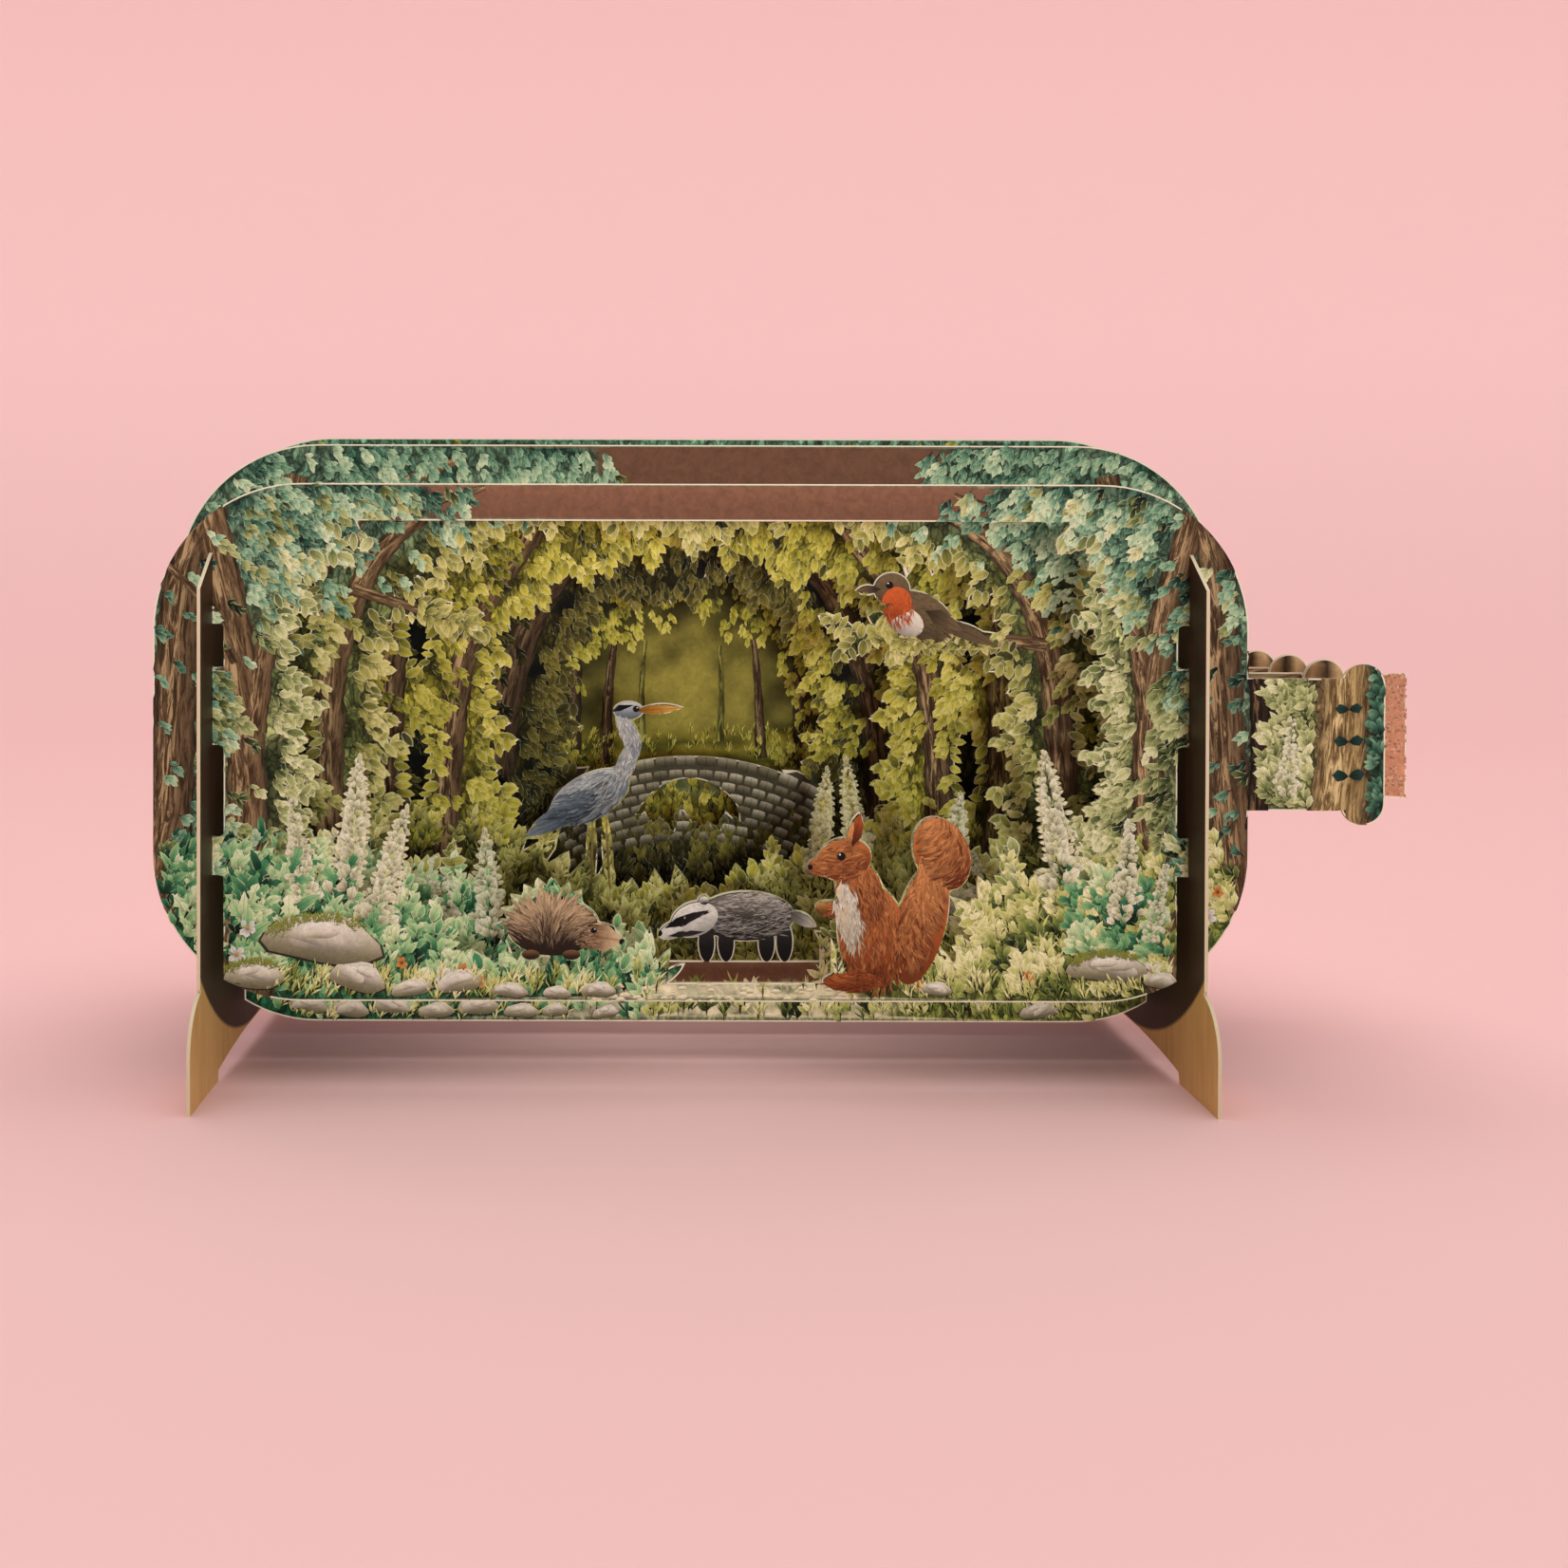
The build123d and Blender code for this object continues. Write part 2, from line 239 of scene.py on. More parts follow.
def build_paper_grain():
    """Fine fibres of the board: a height and a slight mottling of the colour."""
    values = {"Fibre Scale": 1800.0, "Mottle": 0.06}
    tree, graph, given, result = new_group("paper_grain", values, ["Height", "Tone"])
    place = graph.place()
    fibre = graph.noise(place, given[0], 4.0, 0.65)[0]
    both = graph.math("ADD", graph.times(fibre, 0.6), graph.times(graph.noise(place, 260.0, 3.0)[0], 0.4))
    tone = graph.math("MULTIPLY_ADD", graph.math("SUBTRACT", both, 0.5), graph.times(given[1], 4.0), 1.0)
    graph.link(fibre, result[0])
    graph.link(tone, result[1])
    return tree


def build_brush_tone():
    """Patches of thinner and thicker paint, as a factor on the colour."""
    tree, graph, given, result = new_group("brush_tone", {"Patch Scale": 900.0, "Strength": 0.25}, ["Tone"])
    patches = graph.noise(graph.place(), given[0], 5.0, 0.7, 0.6)[0]
    span = graph.times(graph.math("SUBTRACT", patches, 0.5), 4.0)
    graph.link(graph.math("MULTIPLY_ADD", span, given[1], 1.0), result[0])
    return tree


def build_leaf_cells():
    """Small painted leaves side by side: a tone for each, and dark gaps between them."""
    tree, graph, given, result = new_group("leaf_cells", {"Leaf Scale": 600.0}, ["Tone"])
    place = graph.place()
    bend = {0: graph.noise(place, 240.0, 2.0)["Color"], 3: 0.004}
    bend = graph.add("ShaderNodeVectorMath", bend, operation="SCALE").outputs[0]
    turned = graph.stretched(place, (1.0, 1.0, 0.55), (0.0, 0.6, 0.0))
    spot = graph.add("ShaderNodeVectorMath", {0: turned, 1: bend}, operation="ADD").outputs[0]
    values = {"Vector": spot, "Scale": given[0]}
    tone = graph.add("ShaderNodeTexVoronoi", values).outputs["Color"]
    gap = graph.add("ShaderNodeTexVoronoi", values, feature="DISTANCE_TO_EDGE").outputs["Distance"]
    both = graph.times(graph.spread(tone, 0.1, 0.9, 0.55, 1.45), graph.spread(gap, 0.0, 0.16, 0.4, 1.0))
    graph.link(both, result[0])
    return tree


paper_grain = build_paper_grain()
brush_tone = build_brush_tone()
leaf_cells = build_leaf_cells()


def new_print(name, viewport):
    """The graph of a new material."""
    material = bpy.data.materials.new(name)
    material.use_nodes = True
    material.diffuse_color = rgba(viewport)
    material.node_tree.nodes.clear()
    graph = Graph(material.node_tree)
    surface = graph.add("ShaderNodeBsdfPrincipled")
    graph.add("ShaderNodeOutputMaterial", {"Surface": surface.outputs[0]})
    graph.material = material
    graph.surface = surface.inputs
    return graph


def finish_print(graph, colour, roughness=0.8, sheen=0.2):
    """Ends a printed material: paper mottling on its colour and paper fibres in its relief."""
    height, tone = graph.group(paper_grain, 1900.0, 0.05)
    graph.link(graph.shaded(colour, tone), graph.surface["Base Color"])
    graph.link(graph.math("MULTIPLY_ADD", height, 0.12, roughness - 0.06), graph.surface["Roughness"])
    bump = graph.add("ShaderNodeBump", {"Strength": 0.25, "Distance": 0.012 * MM, "Height": height})
    graph.link(bump.outputs[0], graph.surface["Normal"])
    graph.surface["Specular IOR Level"].default_value = sheen
    return graph.material


def build_board():
    """Plain cream board: its faces and its cut edges."""
    graph = new_print("cream_board", cream)
    return finish_print(graph, graph.shaded(cream, graph.group(brush_tone, 140.0, 0.05)[0]), 0.75)


def build_support_board():
    """The supports: dark print within a circle round the bottle's axis, gold outside, cream edges."""
    graph = new_print("support_print", bronze)
    normal = graph.add("ShaderNodeNewGeometry").outputs["Normal"]
    sideways = graph.add("ShaderNodeSeparateXYZ", {0: normal}).outputs[0]
    place = graph.place()
    spot = graph.add("ShaderNodeSeparateXYZ", {0: place}).outputs
    rise = graph.math("SUBTRACT", spot[2], axis_z * MM)
    reach = graph.math("SQRT", graph.math("ADD", graph.times(rise, rise), graph.times(spot[1], spot[1])))
    gold_share = graph.spread(reach, (dark_circle - 0.5) * MM, (dark_circle + 0.2) * MM)
    streak = graph.noise(graph.stretched(place, (1.0, 700.0, 60.0)), 1.0, 5.0)[0]
    brown = graph.mix(streak, tint(34, 22, 12), tint(74, 52, 34))
    gold = graph.mix(streak, tint(220, 170, 88), tint(248, 218, 146))
    facing = graph.spread(graph.math("ABSOLUTE", sideways), 0.6, 0.8)
    graph.link(graph.times(gold_share, facing, 0.3), graph.surface["Metallic"])
    return finish_print(graph, graph.mix(facing, cream, graph.mix(gold_share, brown, gold)), 0.5, 0.35)


def build_field_print():
    """The printed ground of a sheet, with the cream rim that the cutter leaves along every cut."""
    graph = new_print("printed_ground", canopy_shades[2])
    brush = graph.group(brush_tone, 700.0, 0.28)[0]
    cells = graph.times(graph.group(leaf_cells, 520.0)[0], graph.group(leaf_cells, 1150.0)[0])
    leafy = graph.fact("leafy")
    cells = graph.math("ADD", graph.times(cells, leafy), graph.math("SUBTRACT", 1.0, leafy))
    colour = graph.shaded(graph.shaded(graph.fact("paint", "Color"), brush), cells)
    rim = graph.spread(graph.fact("edge"), cut_rim - 0.06, cut_rim + 0.02, 1.0, 0.0)
    return finish_print(graph, graph.mix(rim, colour, cream_rim))


def build_leaf_print():
    """A painted mark, darker at its foot, with a vein down its middle and a pale rim."""
    graph = new_print("painted_marks", canopy_shades[3])
    along = graph.fact("along")
    across = graph.math("ABSOLUTE", graph.fact("across"))
    paint, tip = graph.fact("paint", "Color"), graph.fact("tip", "Color")
    colour = graph.mix(graph.spread(along, 0.3, 1.0), paint, tip)
    foot = graph.spread(along, 0.0, 0.5, 0.5, 1.0)
    vein = graph.spread(across, 0.03, 0.14, 0.68, 1.0)
    colour = graph.shaded(colour, graph.times(foot, vein, graph.group(brush_tone, 1500.0, 0.22)[0]))
    rim = graph.times(graph.spread(across, 0.7, 0.86), graph.fact("rim"))
    return finish_print(graph, graph.mix(rim, colour, cream_leaf))


def build_bark_print():
    """Painted trunks: long dark furrows and tan ridges that follow the trunk."""
    graph = new_print("painted_bark", bark)
    across = graph.fact("across")
    paint = graph.fact("paint", "Color")
    along_trunk = graph.stretched(graph.fact("grain", "Vector"), (1.0, 0.12, 1.0))
    furrow = graph.noise(along_trunk, 1.5, 6.0, 0.72, 0.9)[0]
    colour = graph.mix(graph.spread(furrow, 0.36, 0.66), graph.shaded(paint, tint(122, 108, 98)), paint)
    lit = graph.spread(graph.math("ABSOLUTE", graph.math("ADD", across, 0.3)), 0.1, 0.75, 1.0, 0.0)
    crest = graph.times(lit, graph.spread(furrow, 0.48, 0.6), 0.85)
    colour = graph.mix(crest, colour, graph.fact("tip", "Color"))
    shade = graph.spread(graph.math("ABSOLUTE", across), 0.55, 1.0, 1.0, 0.42)
    return finish_print(graph, graph.shaded(colour, shade))


board_material = build_board()
support_material = build_support_board()
field_material = build_field_print()
leaf_material = build_leaf_print()
bark_material = build_bark_print()


# Meshes and the values of their points

fact_kinds = {"form": ("INT", "value", 1), "grain": ("FLOAT_VECTOR", "vector", 3),
              "paint": ("FLOAT_COLOR", "color", 4), "tip": ("FLOAT_COLOR", "color", 4)}
plain_fact = ("FLOAT", "value", 1)


def set_facts(mesh, **facts):
    """Writes a value, vector or colour for each point of a mesh."""
    for name, values in facts.items():
        kind, key, width = fact_kinds.get(name, plain_fact)
        values = np.asarray(values, np.int32 if kind == "INT" else np.float32)
        if width == 4:
            values = np.insert(values[:, :3], 3, 1.0, 1)
        mesh.attributes.new(name, kind, "POINT").data.foreach_set(key, values.ravel())


def read_points(mesh):
    spots = np.empty(len(mesh.vertices) * 3)
    mesh.vertices.foreach_get("co", spots)
    return spots.reshape(-1, 3) / MM


def new_mesh(name, spots, faces=()):
    mesh = bpy.data.meshes.new(name)
    mesh.from_pydata(np.asarray(spots) * MM, [], faces)
    return mesh


def new_object(name, data):
    thing = bpy.data.objects.new(name, data)
    bpy.context.scene.collection.objects.link(thing)
    return thing


def new_piece(mesh, name, material):
    """A finished piece of print, riding on the card."""
    piece = new_object(name, mesh)
    mesh.materials.clear()
    mesh.materials.append(material)
    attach(piece, "root")


def smooth_line(knots):
    """Points evenly along a smooth line through knots of x, z and width."""
    knots = np.array(knots, float)
    padded = np.concatenate([2 * knots[:1] - knots[1:2], knots, 2 * knots[-1:] - knots[-2:-1]])
    result = []
    for share in np.linspace(0, len(knots) - 1 - 1e-6, 12 * len(knots)):
        index, t = int(share), share % 1
        a, b, c, d = padded[index:index + 4]
        result.append(0.5 * (2 * b + (c - a) * t + (2 * a - 5 * b + 4 * c - d) * t * t
                             + (3 * b - a - 3 * c + d) * t ** 3))
    return np.array(result)


class Sheet:
    """One printed sheet: the loops of its front face, what is painted on it, and tests against them.

    Each trunk is a colour, a highlight and its knots; each spike a root, a length and a lean.
    Each figure is a box.
    """

    cell = 0.1

    def __init__(self, node, slot, seed, trunks, spikes=(), figures=()):
        self.node = node
        self.slot = slot
        self.random = np.random.default_rng(seed)
        self.trunks = [(colour, light, smooth_line(knots)) for colour, light, *knots in trunks]
        self.spikes = spikes
        self.figures = figures
        self.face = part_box(node)[0].y / MM
        self.loops = self.read_loops(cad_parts[node].data)
        self.segments = np.concatenate([np.hstack([loop, np.roll(loop, -1, 0)]) for loop in self.loops])
        plain = [index == 0 or np.ptp(loop[:, 0]) < 3 for index, loop in enumerate(self.loops)]
        self.plain = np.repeat(plain, [len(loop) for loop in self.loops])
        self.openings = [loop for loop, flag in zip(self.loops, plain) if not flag]
        self.box = (self.loops[0].min(0), self.loops[0].max(0))
        self.low = self.box[0] - 1
        self.mask = self.fill_mask()
        self.wide_mask = self.mask.copy()
        for shift in ((0, 2), (0, -2), (2, 0), (-2, 0), (1, 1), (1, -1), (-1, 1), (-1, -1)):
            self.wide_mask |= np.roll(self.mask, shift, (0, 1))

    def read_loops(self, mesh):
        """Closed loops round the faces that look forward, longest first."""
        spots = np.round(read_points(mesh)[:, (0, 2)], 3)
        edges = set()
        for polygon in mesh.polygons:
            if polygon.normal.y < -0.9:
                corners = [tuple(spots[v]) for v in polygon.vertices]
                edges.update(zip(corners, corners[1:] + corners[:1]))
        following = {}
        for start, end in edges:
            if (end, start) not in edges and start != end:
                following[start] = end
        loops = []
        while following:
            start, end = following.popitem()
            loop = [start]
            while end != start and end in following:
                loop.append(end)
                end = following.pop(end)
            loops.append(np.array(loop))
        loops.sort(key=lambda loop: -np.ptp(loop[:, 0]))
        return [loop for loop in loops if len(loop) > 2]

    def fill_mask(self):
        """A fine grid of board and gap, filled row by row."""
        size = np.ceil((self.box[1] + 1 - self.low) / self.cell).astype(int)
        crossings = np.zeros((size[1], size[0]), int)
        for x0, z0, x1, z1 in self.segments:
            if z0 != z1:
                first, last = sorted(((z0, x0), (z1, x1)))
                rows = np.arange(math.ceil((first[0] - self.low[1]) / self.cell),
                                 math.ceil((last[0] - self.low[1]) / self.cell))
                z = self.low[1] + rows * self.cell
                x = first[1] + (last[1] - first[1]) * (z - first[0]) / (last[0] - first[0])
                np.add.at(crossings, (rows, np.ceil((x - self.low[0]) / self.cell).astype(int)), 1)
        return np.cumsum(crossings, 1) % 2 == 1

    def inside(self, points, mask=None):
        """Which points lie on the board."""
        mask = self.mask if mask is None else mask
        index = np.round((points - self.low) / self.cell).astype(int)
        last = np.array(mask.shape[::-1]) - 1
        valid = ((index >= 0) & (index <= last)).all(-1)
        index = np.clip(index, 0, last)
        return valid & mask[index[..., 1], index[..., 0]]

    def nearest(self, points):
        """Distance to the nearest cut, the nearest point on it, and whether it is a plain one."""
        best = np.full(len(points), 1e9)
        spot = np.zeros((len(points), 2))
        plain = np.zeros(len(points), bool)
        for (x0, z0, x1, z1), is_plain in zip(self.segments, self.plain):
            run = np.array([x1 - x0, z1 - z0])
            share = ((points[:, 0] - x0) * run[0] + (points[:, 1] - z0) * run[1]) / max(run @ run, 1e-12)
            share = np.clip(share, 0, 1)
            foot = np.stack([x0 + share * run[0], z0 + share * run[1]], 1)
            gap = np.hypot(*(points - foot).T)
            closer = gap < best
            best[closer] = gap[closer]
            spot[closer] = foot[closer]
            plain[closer] = is_plain
        return best, spot, plain

    def scatter(self, count, low, high):
        """Random points on the board between two corners."""
        points = self.random.uniform(low, high, (count, 2))
        return points[self.inside(points)]

    def lit(self, points, reach=8.0, plain=0.0):
        """1 along the leafy openings, falling to 0 within a reach."""
        gap, _, is_plain = self.nearest(points)
        return np.where(is_plain, plain, steps(gap, reach, 0.5))

    def tones(self, base, swing, size, seed, share=0.0, reach=8.0, plain=0.0):
        """A tone that drifts over the sheet and is lighter at its openings."""
        def tone(points):
            return base + swing * drift(points, size, seed) + share * self.lit(points, reach, plain)
        return tone

    def off_bark(self, points, share=0.94, margin=0.8):
        """1 beside the trunks, falling by a share on them."""
        near = np.zeros(len(points))
        for _, _, line in self.trunks:
            gaps = np.hypot(points[:, None, 0] - line[:, 0], points[:, None, 1] - line[:, 1]) - line[:, 2] / 2
            near = np.maximum(near, steps(gaps.min(1), margin, margin - 0.8))
        return 1 - share * near

    def on_spikes(self, points):
        """Which points lie on the outline of a cut flower head."""
        near = np.zeros(len(points), bool)
        for root, length, lean in self.spikes:
            x, z = (points - np.array(root)).T
            sine, cosine = math.sin(math.radians(lean)), math.cos(math.radians(lean))
            rise = (z * cosine - x * sine) / length
            near |= (rise > 0.2) & (rise < 1.03) & (np.abs(x * cosine + z * sine) / length < 0.12)
        return near

    def on_figures(self, points):
        """Which points lie on a cut figure or flower head."""
        share = sum(box_share(points, low, high, 0.1) for low, high in self.figures)
        return (share > 0.4) | self.on_spikes(points)


def print_ground(sheet, paint, spacing=1.1):
    """The printed ground: a net of points over the sheet's front face, each with its own paint."""
    rims = []
    for loop in sheet.loops:
        step = unit(np.roll(loop, -1, 0) - np.roll(loop, 1, 0))
        way = np.stack([-step[:, 1], step[:, 0]], 1) * (cut_rim + 0.1)
        rims += [loop + way, loop - way]
    rims = np.concatenate(rims)
    rims = rims[sheet.inside(rims)]
    rims = rims[sheet.nearest(rims)[0] > cut_rim]
    x, z = [np.arange(low, high, spacing) for low, high in zip(*sheet.box)]
    grid = np.stack(np.meshgrid(x, z), -1).reshape(-1, 2)
    grid = grid + sheet.random.uniform(-0.25, 0.25, grid.shape) * spacing
    grid = grid[sheet.inside(grid)]
    grid = grid[sheet.nearest(grid)[0] > 2 * cut_rim]
    edges, first = [], 0
    for loop in sheet.loops:
        count = len(loop)
        edges += [(first + index, first + (index + 1) % count) for index in range(count)]
        first += count
    corners = [tuple(corner) for corner in np.concatenate(sheet.loops + [rims, grid])]
    spots, _, faces, _, _, _ = delaunay_2d_cdt(corners, edges, [], 0, 1e-5, False)
    spots = np.array([tuple(spot) for spot in spots])
    faces = np.array(faces)
    faces = faces[sheet.inside(spots[faces].mean(1))]
    name = sheet.node + "_ground"
    mesh = new_mesh(name, np.insert(spots, 1, sheet.face - field_lift, 1), faces.tolist())
    if mesh.polygons[0].normal.y > 0:
        mesh.flip_normals()
    colour, leafy = paint(spots)
    set_facts(mesh, edge=sheet.nearest(spots)[0], paint=colour, leafy=leafy)
    new_piece(mesh, name, field_material)


# Painted marks: small flat forms that Geometry Nodes set on points

pointed, rounded, blade, lobed, stroke, disc, block, plate, pebble = range(9)

# Half widths at shares of the length, how far it bends sideways, and if it has a vein
leaf_forms = {
    "a_pointed": ([(0, 0), (0.2, 0.3), (0.16, 0.66), (0, 1)], 0.04, True),
    "b_round": ([(0, 0), (0.17, 0.26), (0.26, 0.66), (0, 1)], 0.0, True),
    "c_blade": ([(0, 0), (0.06, 0.34), (0.05, 0.7), (0, 1)], 0.22, False),
    "d_lobed": ([(0, 0), (0.05, 0.12), (0.19, 0.28), (0.12, 0.38), (0.26, 0.56), (0.14, 0.66),
                 (0.2, 0.84), (0, 1)], 0.0, True),
    "e_stroke": ([(0, 0), (0.07, 0.45), (0, 1)], 0.08, False),
    "g_block": ([(0, 0), (0.46, 0.07), (0.5, 0.5), (0.46, 0.93), (0, 1)], 0.0, True),
}
form_shelf = bpy.data.collections.new("mark_forms")


def shelve_form(name, points, faces, across, along=None, heart=(0, 9, 0.5)):
    """Keeps a form with its faces turned away from its heart."""
    mesh = bpy.data.meshes.new(name)
    mesh.from_pydata(points, [], faces)
    for polygon in mesh.polygons:
        if polygon.normal.dot(polygon.center - Vector(heart)) < 0:
            polygon.flip()
    set_facts(mesh, along=along or [z for _, _, z in points], across=across)
    form_shelf.objects.link(bpy.data.objects.new(name, mesh))


def build_leaf(name, profile, bend, veined):
    """A mark one unit long that points up and faces forward."""
    points, across = [], []
    for half, height in profile:
        for side in (-1, 0, 1) if half else (0,):
            points.append((bend * height * height + side * half, 0 if side else -0.2 * half, height))
            across.append(abs(side) if veined else 0.5)
    last = len(points) - 1
    faces = [(0, 2, 1), (0, 3, 2)]
    for row in range(1, last - 3, 3):
        faces += [(row, row + 1, row + 4, row + 3), (row + 1, row + 2, row + 5, row + 4)]
    faces += [(last - 3, last - 2, last), (last - 2, last - 1, last)]
    shelve_form(name, points, faces, across)


def build_round(name, corners, centre, shares, rings, uneven=False):
    """A round form of radius one: a middle point, and rings of corners about it."""
    points, along, across, faces = [centre], [shares[0]], [shares[1]], []
    for reach, lift in rings:
        for index in range(corners):
            angle = full_turn * index / corners
            x, z = reach * math.sin(angle), reach * math.cos(angle)
            along.append(0.5 + 0.5 * z)
            across.append(shares[2])
            if uneven:
                swell = 1 + 0.07 * math.sin(3 * angle + 1) + 0.06 * math.sin(5 * angle)
                x, z = x * swell, z * swell * (0.7 if z < 0 else 1.0)
            points.append((x, lift, z))
    for index in range(corners):
        a, b = 1 + index, 1 + (index + 1) % corners
        faces += [(0, b, a)] + [(a, b, b + corners, a + corners)] * (len(rings) - 1)
    shelve_form(name, points, faces, across, along)


def build_plate():
    """A leaf cut from the board: painted in front, and plain at its edge and back."""
    right = [(0.15, 0.16), (0.22, 0.42), (0.17, 0.74)]
    outline = [(0, 0), *right, (0, 1)] + [(-half, height) for half, height in reversed(right)]
    count = len(outline)
    points = [(x, 0, z) for x, z in outline] + [(0, -0.06, z) for _, z in right]
    front = len(points)
    points += [(x, depth, z) for depth in (0, 1) for x, z in outline]
    across = [1.0] * count + [0.0] * len(right) + [1.0] * 2 * count
    faces = [(0, 1, 8), (0, 8, 7), (1, 2, 9, 8), (7, 8, 9, 6),
             (2, 3, 10, 9), (6, 9, 10, 5), (3, 4, 10), (4, 5, 10)]
    for index in range(count):
        a, b = front + index, front + (index + 1) % count
        faces.append((a, b, count + b, count + a))
    faces.append(tuple(range(front + count, front + 2 * count)))
    shelve_form("h_plate", points, faces, across, None, (0, 0.5, 0.5))


for form_name, leaf_form in leaf_forms.items():
    build_leaf(form_name, *leaf_form)
build_round("f_disc", 24, (0, -0.03, 0), (0.5, 0.3, 0.8), [(1.0, 0)])
build_round("i_stone", 14, (0, -0.05, 0.08), (0.6, 0.4, 0.4), [(0.62, -0.04), (1.0, 0)], True)
build_plate()


def build_mark_tree():
    """Sets a form on every point, turned, sized and tilted by the point's own values."""
    tree = bpy.data.node_groups.new("set_marks", "GeometryNodeTree")
    for label, way, kind in (("Points", "INPUT", "Geometry"), ("Forms", "INPUT", "Collection"),
                             ("Unit Length", "INPUT", "Float"), ("Paint", "INPUT", "Material"),
                             ("Marks", "OUTPUT", "Geometry")):
        tree.interface.new_socket(label, in_out=way, socket_type="NodeSocket" + kind)
    graph = Graph(tree)
    given = graph.add("NodeGroupInput").outputs

    def fact(name, kind="FLOAT"):
        return graph.add("GeometryNodeInputNamedAttribute", {"Name": name}, data_type=kind).outputs[0]

    forms = graph.add("GeometryNodeCollectionInfo", {"Collection": given["Forms"],
                                                     "Separate Children": True, "Reset Children": True})
    turn = graph.add("ShaderNodeCombineXYZ", {"X": fact("tilt"), "Y": fact("turn")})
    length = graph.times(fact("size"), given["Unit Length"])
    wide = graph.times(length, fact("width"))
    thick = graph.times(fact("thick"), given["Unit Length"])
    scale = graph.add("ShaderNodeCombineXYZ", {"X": wide, "Y": thick, "Z": length})
    setter = graph.add("GeometryNodeInstanceOnPoints", {
        "Points": given["Points"], "Instance": forms.outputs[0], "Pick Instance": True,
        "Instance Index": fact("form", "INT"), "Rotation": turn.outputs[0], "Scale": scale.outputs[0]})
    real = graph.add("GeometryNodeRealizeInstances", {"Geometry": setter.outputs[0]})
    painted = graph.add("GeometryNodeSetMaterial", {"Geometry": real.outputs[0], "Material": given["Paint"]})
    graph.link(painted.outputs[0], graph.add("NodeGroupOutput").inputs[0])
    return tree


mark_tree = build_mark_tree()
mark_facts = ("depth", "turn", "size", "width", "thick", "tilt", "form", "rim")


class Marks:
    """A growing table of painted marks on a sheet, each later one lying over the earlier."""

    def __init__(self, sheet, name):
        self.sheet = sheet
        self.name = sheet.node + name
        self.random = sheet.random
        self.rows = []

    def add(self, points, turn, size, form, paint, tip, depth, width=1.0, tilt=0.0, rim=0.0, thick=1.0):
        points = np.atleast_2d(points)
        count = len(points)
        facts = [np.broadcast_to(np.reshape(value, (-1, 1)), (count, 1))
                 for value in (depth, turn, size, width, thick, tilt, form, rim)]
        colours = [np.broadcast_to(colour, (count, 3)) for colour in (paint, tip)]
        self.rows.append(np.hstack([points, *facts, *colours]))


def cut_to_board(sheet, mesh, name):
    """A copy of a mesh drawn back to the sheet's cuts, without what spans a gap or turned flat."""
    spots = read_points(mesh)
    flat = spots[:, (0, 2)]
    out = np.flatnonzero(~sheet.inside(flat))
    spots[out[:, None], (0, 2)] = sheet.nearest(flat[out])[1]
    mesh.calc_loop_triangles()
    faces = np.empty(len(mesh.loop_triangles) * 3, np.int32)
    mesh.loop_triangles.foreach_get("vertices", faces)
    faces = faces.reshape(-1, 3)
    corners = spots[faces]
    flat = corners[:, :, (0, 2)]
    keep = np.cross(corners[:, 1] - corners[:, 0], corners[:, 2] - corners[:, 0])[:, 1] < -0.003
    keep &= sheet.inside(flat.mean(1), sheet.wide_mask)
    for share in (0.25, 0.5, 0.75):
        between = flat * share + np.roll(flat, 1, 1) * (1 - share)
        keep &= sheet.inside(between, sheet.wide_mask).all(1)
    used, faces = np.unique(faces[keep], return_inverse=True)
    spots[:, (0, 2)] = np.clip(spots[:, (0, 2)], *sheet.box)
    result = new_mesh(name, spots[used], faces.reshape(-1, 3).tolist())
    for fact in ("along", "across", "rim", "grain", "paint", "tip"):
        if fact in mesh.attributes:
            _, key, width = fact_kinds.get(fact, plain_fact)
            values = np.empty(len(spots) * width, np.float32)
            mesh.attributes[fact].data.foreach_get(key, values)
            set_facts(result, **{fact: values.reshape(-1, width)[used]})
    return result


def paint_marks(marks, cut=True):
    """Turns a table of marks into one piece through the tree, cut to the sheet's outline if asked."""
    sheet, name = marks.sheet, marks.name
    table = np.vstack(marks.rows)
    facts = dict(zip(mark_facts, table[:, 2:].T))
    depth = sheet.face - facts.pop("depth")
    carrier = new_mesh(name + "_points", np.insert(table[:, :2], 1, depth, 1))
    set_facts(carrier, paint=table[:, -6:-3], tip=table[:, -3:], **facts)
    holder = new_object(name + "_points", carrier)
    modifier = holder.modifiers.new("marks", "NODES")
    modifier.node_group = mark_tree
    sockets = {item.name: item.identifier for item in mark_tree.interface.items_tree}
    modifier[sockets["Forms"]] = form_shelf
    modifier[sockets["Unit Length"]] = MM
    modifier[sockets["Paint"]] = leaf_material
    graph = bpy.context.evaluated_depsgraph_get()
    mesh = bpy.data.meshes.new_from_object(holder.evaluated_get(graph))
    bpy.data.objects.remove(holder)
    new_piece(cut_to_board(sheet, mesh, name) if cut else mesh, name, leaf_material)


